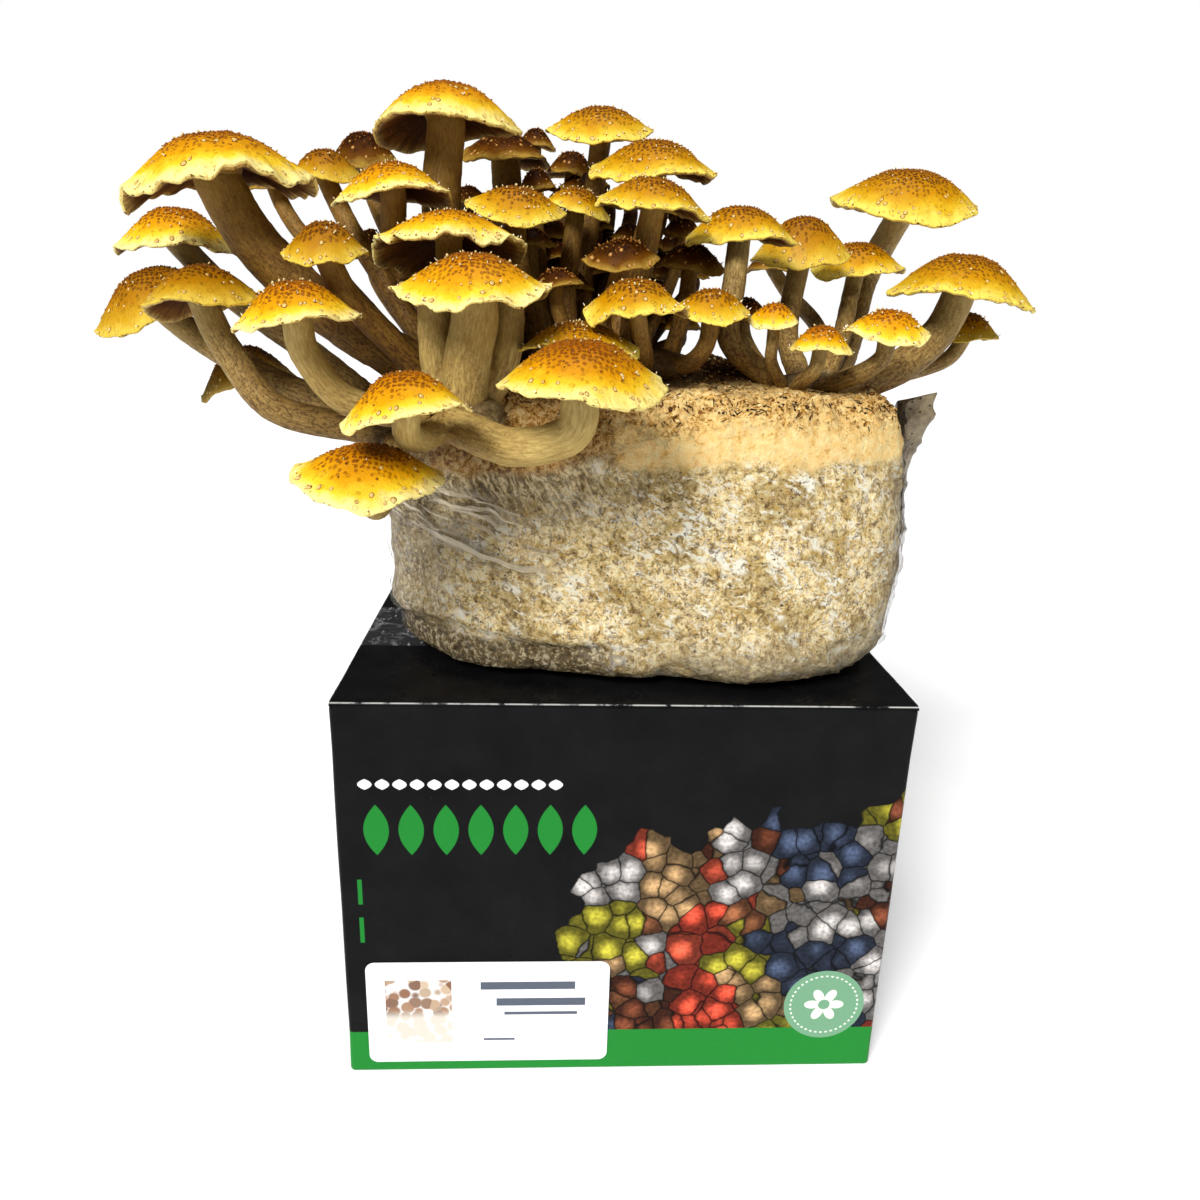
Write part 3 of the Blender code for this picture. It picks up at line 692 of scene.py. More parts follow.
def bag_wrinkles(points):
    """How far the bag's wrinkles stand out: sharp slanting ridges, strongest at the upper left, fine
    ones between them, pleats along the foot where the bag is tucked in, and long folds at the left
    of the front. A ridge runs where smooth bumps pass through nought."""
    slanted = points @ np.array([(0.45, 0.1, 0.5), (0.1, 0.5, 0.2), (1.1, 0.2, -0.7)])
    x, y, z = np.moveaxis(points, -1, 0)
    upper_left = np.clip((20 * MM - x) / (60 * MM), 0, 1) * np.clip((z - 190 * MM) / (30 * MM), 0, 1)
    strong = 0.30 + 0.7 * np.clip(1.8 * bumps(points, 45 * MM, seed=71) + 0.2, 0, 1) + 0.8 * upper_left
    wrinkle = np.clip(1 - 4.5 * np.abs(bumps(slanted, 9 * MM, seed=73)), 0, 1) ** 1.5
    fine = np.clip(1 - 4 * np.abs(bumps(slanted * 2.3, 9 * MM, seed=75)), 0, 1) ** 2
    foot = np.clip(1 - (z - 160 * MM) / (16 * MM), 0, 1)
    pleat = foot * np.clip(1 - 3 * np.abs(bumps(points * (1, 1, 0.15), 8 * MM, seed=77)), 0, 1)
    crease = np.clip(1 - 7 * np.abs(bumps(slanted * (1, 1, 0.7) + 0.4, 30 * MM, seed=91)), 0, 1) ** 2
    drop = z - 222 * MM + 0.27 * (x + 87 * MM) + 4 * MM * bumps(points, 22 * MM, seed=99)
    folds = np.exp(-((np.mod(drop + 14 * MM, 5.5 * MM) - 2.7 * MM) / (0.8 * MM)) ** 2)
    folds = folds * (np.abs(drop) < 13.5 * MM) * np.clip((-20 * MM - x) / (30 * MM), 0, 1) * (y < 0)
    return (1.05 * strong * wrinkle + 0.40 * fine + 1.3 * pleat + 1.2 * crease + 1.5 * folds) * MM


def block_surface(angle, spread, level, grow):
    """Points of the block's skin for an angle, a share of the plan and a level, swollen outwards."""
    x, y = block_plan(angle, spread, grow)
    z = np.broadcast_to(BLOCK_FLOOR + level * BLOCK_HEIGHT, x.shape)
    points = np.stack([x, y, z], -1)
    away = points * (1, 1, 0) - (BLOCK_CENTRE_X, 0, 0)
    away = away / (BLOCK_HALF[0] ** 2, BLOCK_HALF[1] ** 2, 1)
    away /= np.linalg.norm(away, axis=-1, keepdims=True)
    return points + away * block_swell(points)[..., None], away


def block_points():
    """The block: rings up the side's profile, then rings drawn in over the top on to the heap of casing,
    which rises as a bell curve of the distance from its middle."""
    angle = even_angles(420)
    side = smooth_route(BLOCK_PROFILE, 74)
    points, away = block_surface(angle[None], side[:, :1], side[:, 1:], 0)
    grain = 0.55 * rough(points, 7 * MM, 3, seed=41)
    crumble = np.clip((points[..., 2] - 244 * MM) / (12 * MM), 0, 1)
    grain += crumble * (2.9 * rough(points, 8 * MM, 4, seed=45) - 0.4)
    points += away * (grain * MM + 0.9 * (1 - crumble) * bag_wrinkles(points))[..., None]
    points[..., 2] += crumble * 2.8 * MM * rough(points, 9 * MM, 4, seed=47)
    share = np.linspace(1, 0.02, 44)[1:, None, None]
    centre = np.array([*MOUND_CENTRE, 0]) * (1 - share)
    top = points[-1][None] * share + centre
    top[..., 2] = BLOCK_FLOOR + BLOCK_HEIGHT
    dx = (top[..., 0] - MOUND_CENTRE[0]) / MOUND_SPREAD[0]
    dy = (top[..., 1] - MOUND_CENTRE[1]) / MOUND_SPREAD[1]
    top[..., 2] += MOUND_HEIGHT * 0.9 * np.exp(-dx * dx - dy * dy)
    blend_in = np.clip((1 - share[..., 0]) * 8, 0, 1)
    top[..., 2] += (points[-1, :, 2] - BLOCK_FLOOR - BLOCK_HEIGHT)[None] * (1 - blend_in)
    top[..., 2] += blend_in * (2.6 * rough(top, 9 * MM, 4, seed=51) - 0.4) * MM
    return closed_tube(np.concatenate([points, top]), [(BLOCK_CENTRE_X, 0, BLOCK_FLOOR), top[-1].mean(0)])


def loose_dust(dust, net, clouds):
    """Tan sawdust in broad light and dark clouds, with drifts of ochre."""
    grains = dust.noise(2.6, 8.0, 0.80, place=net).ramp(
        (0.40, (0.16, 0.085, 0.020)), (0.46, (0.56, 0.38, 0.125)), (0.52, (0.90, 0.70, 0.33)),
        (0.58, (1.0, 0.92, 0.62)))
    tone = clouds.ramp((0.38, (0.64, 0.58, 0.45)), (0.48, (0.98, 0.93, 0.80)), (0.62, (1.15, 1.10, 0.98)))
    ochre = dust.noise(5, 7.0, 0.75, distortion=1.0).step(0.52, 0.60, 0.0, 0.70)
    return dust.blend(ochre, dust.tinted(grains, tone), (0.56, 0.33, 0.050))


def white_threads(dust, net, along, clouds):
    """How thick the mycelium lies: in tufts, wisps and thin lace, and in fans of feathery strands."""
    tufts = dust.noise(3.2, 9.0, 0.82, place=net, distortion=1.2).step(0.535, 0.560)
    wisps = dust.noise(4.6, 8.0, 0.72, dust.stretched(along, 0.34, 1.0, 1.0), 1.4).step(0.57, 0.61)
    lace = abs(dust.noise(4.0, 5.0, 0.62, place=net, distortion=2.2) - 0.5).step(0.016, 0.007)
    aside = dust.move("ADD", dust.place, (0.3, 0.7, 0.2))
    fans = dust.noise(13, 2.0, 0.5, place=aside).step(0.55, 0.64)
    feathers = dust.noise(2.0, 4.0, 0.6, place=dust.stretched(along, 0.22, 1.0, 1.0)).step(0.47, 0.55)
    matted = wisps | (lace | tufts) * clouds.step(0.40, 0.58, 0.15, 1.0)
    return matted * 0.90 | fans * feathers


def ochre_grains(dust, net):
    """Where round ochre grains lie: in one cell of five, each as wide as chance makes it."""
    reach, chance, _ = dust.cells(1.7, place=net)
    return (reach < dust.part("Y", chance) * 0.34 + 0.04) * (dust.part("X", chance) < 0.20)


def black_crumbs(dust, clouds):
    """Where small black crumbs lie: close in the dark clouds, sparse in the light ones."""
    reach, chance, _ = dust.cells(2.1)
    return (reach < 0.18) * (dust.part("X", chance) < clouds.step(0.6, 0.35, 0.1, 0.5))


def air_rings(dust, z):
    """Pale rings low on the block, where air bubbles lie under the film."""
    reach, chance, _ = dust.cells(11, randomness=0.9)
    ring = abs(reach - 0.17).step(0.045, 0.02)
    return ring * (dust.part("Z", chance) < 0.22) * z.between(186, 178, 0.0, 0.75)


def shaded_sides(dust, net, clouds, x, z, colour):
    """A colour with painted shade: a dark net over the block's foot and both its ends."""
    netted = dust.noise(1.9, 6.0, 0.7, place=net).ramp(
        (0.42, (0.030, 0.016, 0.004)), (0.52, (0.17, 0.105, 0.030)), (0.60, (0.62, 0.53, 0.34)))
    low_left = z.wavy(clouds, 8).between(178, 175) * x.between(14, -12, 0.0, 0.90)
    low_right = z.wavy(clouds, 14).between(194, 172) * x.between(-5, 30, 0.0, 0.62)
    ends = x.between(-56, -76, 0.0, 0.85) | x.between(82, 102, 0.0, 0.66)
    colour = dust.blend(low_left, colour, netted)
    colour = dust.blend(low_right, colour, dust.blend(0.30, netted, (0.60, 0.53, 0.38)))
    return dust.blend(ends * clouds.step(0.35, 0.60, 1.0, 0.70), colour, netted)


def streaked_and_shaded_corner(dust, net, clouds, x, z, colour):
    """A colour greyed in steep streaks at the upper left, and darkened there by painted shade under the front
    caps.
    """
    steep = dust.stretched(dust.turned(net, -58), 0.22, 1.0, 1.0)
    streaked_shade = dust.noise(1.3, 5.0, 0.7, place=steep).ramp(
        (0.40, (0.050, 0.028, 0.009)), (0.49, (0.24, 0.160, 0.065)), (0.57, (0.76, 0.62, 0.36)))
    # Painted shade: the corner's streaks are darkened where the front caps shade it.
    corner = x.wavy(clouds, 60).between(45, -5) * z.wavy(clouds, 40).between(226, 246)
    return dust.blend(corner * 0.84, colour, streaked_shade)


def bare_rim(dust, crumbs, x, z, colour):
    """A colour with the bare rim above the film's edge: peach, rusty at the left, and dark casing on top."""
    patch = dust.noise(18, 4.0, 0.55)
    peach = dust.noise(3.2, 7.0, 0.7).ramp(
        (0.34, (0.70, 0.38, 0.08)), (0.44, (1.0, 0.66, 0.24)), (0.64, (1.0, 0.80, 0.38)))
    rusty = dust.noise(2.2, 7.0, 0.80, distortion=0.8).ramp(
        (0.41, (0.050, 0.020, 0.005)), (0.46, (0.36, 0.150, 0.020)), (0.51, (0.82, 0.45, 0.095)),
        (0.58, (1.0, 0.78, 0.36)))
    left = x.wavy(patch, 60).between(44, 14)
    rusty = dust.blend(left * 0.50, rusty, (0.17, 0.070, 0.013))
    ragged = dust.noise(4.0, 8.0, 0.80).step(0.46, 0.54, 0.35, 1.0) * z.wavy(patch, 24).between(258.5, 266)
    band = dust.blend(left | ragged, peach, rusty)
    band = dust.blend(crumbs * 0.3, band, (0.05, 0.02, 0.006))
    sunk = x.between(-12, -40, 0.0, 7 * MM)
    colour = dust.blend((z.wavy(patch, 14) + sunk).between(243, 248), colour, band)
    casing = dust.noise(1.8, 6.0, 0.72).ramp(
        (0.38, (0.018, 0.008, 0.003)), (0.54, (0.13, 0.055, 0.014)), (0.70, (0.46, 0.27, 0.10)))
    return dust.blend(z.wavy(patch, 8).between(264, 268), colour, casing)


def sawdust_finish():
    """Tan sawdust laced with white mycelium, with ochre grains, black crumbs and painted shadows in its pits;
    greyer at the upper left, with painted shade there and over the foot and ends; peach and bare above the
    film's edge. Below the edge it shines through the clinging film."""
    dust = Finish("sawdust_block", Roughness=0.8, Specular_IOR_Level=0.2)
    x, z = dust.part("X"), dust.part("Z")
    clouds = dust.noise(15, 4.0, 0.6)
    net = dust.warped(dust.place, 5, 4.0, 4)
    along = dust.turned(net, -25)
    colour = loose_dust(dust, net, clouds)
    colour = dust.blend(white_threads(dust, net, along, clouds), colour, (1.0, 0.95, 0.78))
    # Painted shadows in the pits between the grains.
    shadows = dust.noise(3.0, 8.0, 0.80, place=net, distortion=1.0).step(0.465, 0.42, 0.0, 0.80)
    colour = dust.blend(shadows, colour, (0.15, 0.080, 0.018))
    colour = dust.blend(ochre_grains(dust, net) * 0.75, colour, (0.52, 0.32, 0.045))
    crumbs = black_crumbs(dust, clouds)
    colour = dust.blend(crumbs * 0.9, colour, (0.03, 0.015, 0.006))
    colour = dust.blend(air_rings(dust, z), colour, (0.80, 0.72, 0.48))
    colour = shaded_sides(dust, net, clouds, x, z, colour)
    colour = streaked_and_shaded_corner(dust, net, clouds, x, z, colour)
    fine = dust.noise(1.1, 5.0, 0.7) * 0.6 + dust.noise(4.0, 6.0, 0.7)
    dust.paint(Base_Color=bare_rim(dust, crumbs, x, z, colour), Normal=dust.relief(fine, 2.2))
    creases = dust.noise(3.4, 6.0, 0.65, place=dust.stretched(along, 0.5, 1.0, 1.0), distortion=2.2)
    sheen = z.between(247, 243) * x.wavy(clouds, 40).between(20, -30, 0.28, 0.45)
    dust.paint(Coat_Weight=sheen, Coat_Roughness=0.12, Coat_Normal=dust.relief(creases, 1.8))
    return dust


block_skin, block_faces = block_points()
block_piece = make_piece("block_skin", block_skin, block_faces, [sawdust_finish()])
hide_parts("substrate_block")


# Film bag: a thin clear bag shrunk close round the block, its top cut open all round above the casing.
# The right gusset stands out as a grey fin that ends in a folded ear.
FILM_GAP = 0.35 * MM
FILM_THICK = 0.12 * MM
FILM_FLOOR = 157.75 * MM
FILM_EDGE = (86 * MM, 90 * MM)
FIN_REACH = 10.5 * MM
EAR_HEIGHT = 36 * MM


def film_edge(angle, x):
    """Height of the film's cut edge above the block's floor: ragged, higher at the back and at the fin,
    and drawn down at the left of the front."""
    back = 0.5 + 0.5 * np.sin(angle)
    around = np.minimum(angle, 2 * math.pi - angle)
    spots = np.stack([x, angle * 40 * MM, 0 * angle], -1)
    ear = 8 * MM * np.exp(-(around / math.radians(9)) ** 2)
    sunk = 7 * MM * np.clip((-12 * MM - x) / (28 * MM), 0, 1) * np.clip(-4 * np.sin(angle), 0, 1)
    level = FILM_EDGE[0] + (FILM_EDGE[1] - FILM_EDGE[0]) * back
    return level + 2.2 * MM * rough(spots, 22 * MM, 4, seed=61) + ear - sunk


def film_shell():
    """The film: the block's side grown outwards and wrinkled, up its outer face and down its inner one,
    with the fin raised where the angle is nought and closed by a floor."""
    angle = even_angles(520)
    x, _ = block_plan(angle, 1.0, 0)
    edge = film_edge(angle, x) / BLOCK_HEIGHT
    side = smooth_route(BLOCK_PROFILE[1:6], 90)
    share = (side[:, 1] - side[0, 1]) / (side[-1, 1] - side[0, 1])
    level = side[0, 1] + share[:, None] * (edge - side[0, 1])[None]
    spread = np.interp(level, side[:, 1], side[:, 0])
    points, away = block_surface(angle[None], spread, level, FILM_GAP + 0.35 * MM)
    lift = bag_wrinkles(points) + (0.25 * rough(points, 5 * MM, 2, seed=79) + 0.6) * MM
    flare = np.clip((level - edge[None]) * BLOCK_HEIGHT / (5 * MM) + 1, 0, 1) ** 2
    lift += flare * 1.2 * MM * (0.6 + bumps(points, 12 * MM, seed=81))
    turned = np.array([math.cos(BLOCK_TURN), math.sin(BLOCK_TURN), 0])
    around = np.minimum(angle, 2 * math.pi - angle)
    fin = np.exp(-(around / math.radians(0.9)) ** 2)[None]
    up = np.clip((points[..., 2] - 163 * MM) / (85 * MM), 0, 1)
    ear = np.clip((points[..., 2] - edge[None] * BLOCK_HEIGHT - BLOCK_FLOOR) / EAR_HEIGHT + 1, 0, 1)
    wave = 0.92 + 0.22 * bumps(points * (0, 0, 1), 11 * MM, seed=83)
    fin_reach = FIN_REACH * fin * (0.32 + 0.72 * ear) * wave * np.clip(up * 6, 0, 1)
    layers = []
    for grow in (FILM_THICK, 0):
        layer = points + away * (lift + grow)[..., None] + turned * fin_reach[..., None]
        layer[..., 2] += fin * 4 * MM * ear ** 2
        layer[..., 1] += fin * 3.5 * MM * np.sin(90 * points[..., 2] + 1.0) * up
        layers.append(layer)
    outer, inner = layers
    foot_ring = outer[:1] * (0.9, 0.9, 0) + (0.1 * BLOCK_CENTRE_X, 0, FILM_FLOOR)
    inward = (0, 0, FILM_THICK)
    grid = np.concatenate([foot_ring, outer, inner[::-1] + inward, foot_ring + inward])
    return closed_tube(grid, [(BLOCK_CENTRE_X, 0, FILM_FLOOR), (BLOCK_CENTRE_X, 0, FILM_FLOOR + FILM_THICK)])


def long_folds(film, x, y, z):
    """Painted highlights and painted shade along long folds, where the bag is drawn down at the front's left.

    The folds run along a line that falls to the right and wavers: drop is the height over it.
    """
    drop = film.noise(24, 2.0) * (12 * MM) + (x * 0.27 + z - 198.5 * MM - 6 * MM)
    zone = x.between(-18, -46) * abs(drop).between(15, 8) * (y < 0.0)
    along = film.add("CombineXYZ", X=drop, Y=y * 0.1, Z=x * 0.07).outputs[0]
    folds = film.noise(3.0, 4.0, 0.6, place=along)
    return zone * folds.step(0.50, 0.60, 0.0, 0.60), zone * folds.step(0.44, 0.36, 0.0, 0.55)


def film_finish():
    """Thin glossy film: clear where it clings, milky in streaks and wrinkles, grey on the standing fin. The
    long folds carry painted highlights and painted shade.
    """
    film = Finish("clear_film", Roughness=0.16, IOR=1.5)
    x, y, z = (film.part(axis) for axis in "XYZ")
    upright = film.stretched(film.place, 1.0, 1.0, 0.5)
    milky = film.noise(10, 7.0, 0.68, place=upright, distortion=1.5).step(0.54, 0.74, 0.0, 0.08)
    creases = film.noise(3.0, 6.0, 0.7, place=upright, distortion=2.5).step(0.62, 0.68, 0.0, 0.16)
    standing = x.between(106, 109, 0.0, 0.93) * abs(y + 5 * MM).between(16, 9)
    ends = x.between(98, 106, 0.0, 0.24) | x.between(-72, -84, 0.0, 0.06)
    dots = (film.cells(2.6)[0] < 0.20) * standing
    shine, shadow = long_folds(film, x, y, z)
    film.paint(Alpha=milky + creases | (shine | shadow) | (standing | ends | dots))
    clear = film.noise(7, 4.0).ramp((0.3, (0.22, 0.18, 0.115)), (0.7, (0.42, 0.37, 0.27)))
    dull = film.noise(5, 5.0, 0.6).ramp((0.36, (0.14, 0.100, 0.052)), (0.62, (0.34, 0.27, 0.16)))
    colour = film.blend(x.between(104, 108), clear, dull)
    # Painted highlight on the folds' crests, painted shade between them.
    colour = film.blend(shine, colour, (0.90, 0.78, 0.55))
    colour = film.blend(shadow, colour, (0.11, 0.075, 0.035))
    ripples = film.noise(2.2, 5.0, 0.6, distortion=1.0)
    film.paint(Base_Color=film.blend(dots, colour, (0.035, 0.022, 0.010)),
               Normal=film.relief(ripples, 0.5, 0.7))
    return film


film_piece = make_piece("film_skin", *film_shell(), [film_finish()])
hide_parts("film_bag")


# Casing crumbs: dark and ochre grains of bark and sawdust, and short torn strands, loose over the
# block's bare top and round the roots.
CRUMBS = 5200
STRANDS = 1500
CRUMB_SIDES = 5


def raise_spots(place, normal, down, radius, height, lean, profile, sides, stretch=1.25):
    """Small closed mounds on a skin: rings of the profile's spread and height, between two tips.

    Gives their points, their faces, and how far up its mound each point lies, from 0 to 1.
    """
    side = np.cross(normal, down)
    angle = np.linspace(0, 2 * math.pi, sides + 1)[:-1]
    spread, level = np.array(profile).T
    flat = np.cos(angle)[None, :, None, None] * down * stretch + np.sin(angle)[None, :, None, None] * side
    flat = flat * radius[:, None]
    rise = normal * height[:, None] + down * lean[:, None]
    points = place + flat * spread[:, None, None, None] + rise[None, None] * level[:, None, None, None]
    bottom = place - normal * 0.25 * MM
    peak = place + rise
    rings = np.moveaxis(points, 2, 0).reshape(len(place), -1, 3)
    block = np.concatenate([rings, bottom[:, None], peak[:, None]], 1)
    tips = np.concatenate([np.repeat(level, sides), [0, 1]])
    rows = len(profile)
    faces = tube_faces(rows, sides)
    size = rows * sides + 2
    first = np.arange(len(place))[:, None, None] * size
    joined = [(part[None] + first).reshape(-1, part.shape[1]) for part in faces]
    return block.reshape(-1, 3), joined, np.tile(tips, len(place))


def crumb_finish():
    """Bark, burnt brown to black, with some ochre and a few cream grains."""
    crumb = Finish("casing_crumbs", Roughness=0.85, Specular_IOR_Level=0.2)
    colour = crumb.mark("kind").ramp(
        (0.0, (0.012, 0.006, 0.002)), (0.22, (0.060, 0.024, 0.006)), (0.42, (0.24, 0.100, 0.018)),
        (0.65, (0.66, 0.36, 0.07)), (1.0, (1.0, 0.76, 0.36)))
    shade = crumb.noise(0.8, 3.0).ramp((0.3, (0.55, 0.55, 0.55)), (0.7, (1.0, 1.0, 1.0)))
    crumb.paint(Base_Color=crumb.tinted(colour, shade))
    return crumb


block_normal = np.zeros(len(block_skin) * 3, dtype=np.float32)
block_piece.data.vertices.foreach_get("normal", block_normal)
block_normal = block_normal.reshape(-1, 3).astype(float)
chance = np.random.default_rng(7)
height_over = block_skin[:, 2] + 2.5 * MM * bumps(block_skin, 14 * MM, seed=95)
loose = np.flatnonzero((height_over > 249 * MM) & (np.abs(block_normal).sum(1) > 0.5))
loose_place, loose_height = block_skin[loose], height_over[loose]
weight = np.where(loose_place[:, 1] < -40 * MM, 1.6, 1.0)
weight *= np.clip((loose_height - 247 * MM) / (10 * MM), 0.15, 1)
weight *= np.where((loose_place[:, 0] > 0) & (loose_height < 256 * MM), 0.35, 1.0)
weight *= np.clip(0.5 + 1.6 * bumps(loose_place, 11 * MM, seed=97), 0.08, 1.5)
picked = chance.choice(loose, CRUMBS + STRANDS, replace=False, p=weight / weight.sum())
crumb_place, crumb_normal = block_skin[picked], block_normal[picked]
heading = np.cross(crumb_normal, chance.normal(size=crumb_normal.shape))
heading /= np.linalg.norm(heading, axis=1, keepdims=True)
grain_size = np.clip(chance.lognormal(-1.15, 0.42, CRUMBS), 0.18, 0.95) * MM
grain_height = grain_size * chance.uniform(0.5, 1.3, CRUMBS)
grain_lean = grain_size * chance.uniform(-0.8, 0.8, CRUMBS)
crumbs = raise_spots(crumb_place[:CRUMBS], crumb_normal[:CRUMBS], heading[:CRUMBS], grain_size, grain_height,
                     grain_lean, ((1.0, 0.1), (0.75, 0.7)), CRUMB_SIDES)
strand_size = chance.uniform(0.12, 0.24, STRANDS) * MM
strands = raise_spots(crumb_place[CRUMBS:], crumb_normal[CRUMBS:], heading[CRUMBS:], strand_size,
                      strand_size * 2.2, strand_size * 3, ((1.0, 0.2), (0.7, 0.8)), CRUMB_SIDES, stretch=7.0)
crumb_points = np.concatenate([crumbs[0], strands[0]])
crumb_faces = [np.concatenate([part, strand_part + len(crumbs[0])])
               for part, strand_part in zip(crumbs[1], strands[1])]
kinds = np.concatenate([np.repeat(chance.beta(1.6, 1.1, CRUMBS), len(crumbs[0]) // CRUMBS),
                        np.repeat(chance.beta(0.8, 3.0, STRANDS), len(strands[0]) // STRANDS)])
crumb_piece = make_piece("casing_crumbs", crumb_points, crumb_faces, [crumb_finish()], marks={"kind": kinds})


# Stems: six clumps, each grown together at a root in the block's top, and a crowd of thin young ones
# in the shade behind them. The stems curve outwards and up, pale and smooth under their caps, with
# brown fibrous scales towards the root.
class Mushroom:
    """One mushroom: its cap's rim centre, width, rise and lean, and its stem's width and route.

    depth is the cap's size from front to back, as a share of its width. The lean is in degrees to
    the right and to the front, lengths are in millimetres.
    """

    def __init__(self, at, width, rise, lean, stem, route, depth=1.0):
        self.at = np.array(at) * MM
        self.width = width * MM
        self.depth = depth
        self.rise = rise * MM
        self.stem = stem * MM
        self.route = np.array(route) * MM
        right, front = np.radians(lean)
        axis = np.array([math.sin(right), -math.sin(front), math.cos(right) * math.cos(front)])
        self.axis = axis / np.linalg.norm(axis)
        tilt = Vector((0, 0, 1)).rotation_difference(Vector(self.axis))
        self.turn = np.array(tilt.to_matrix())


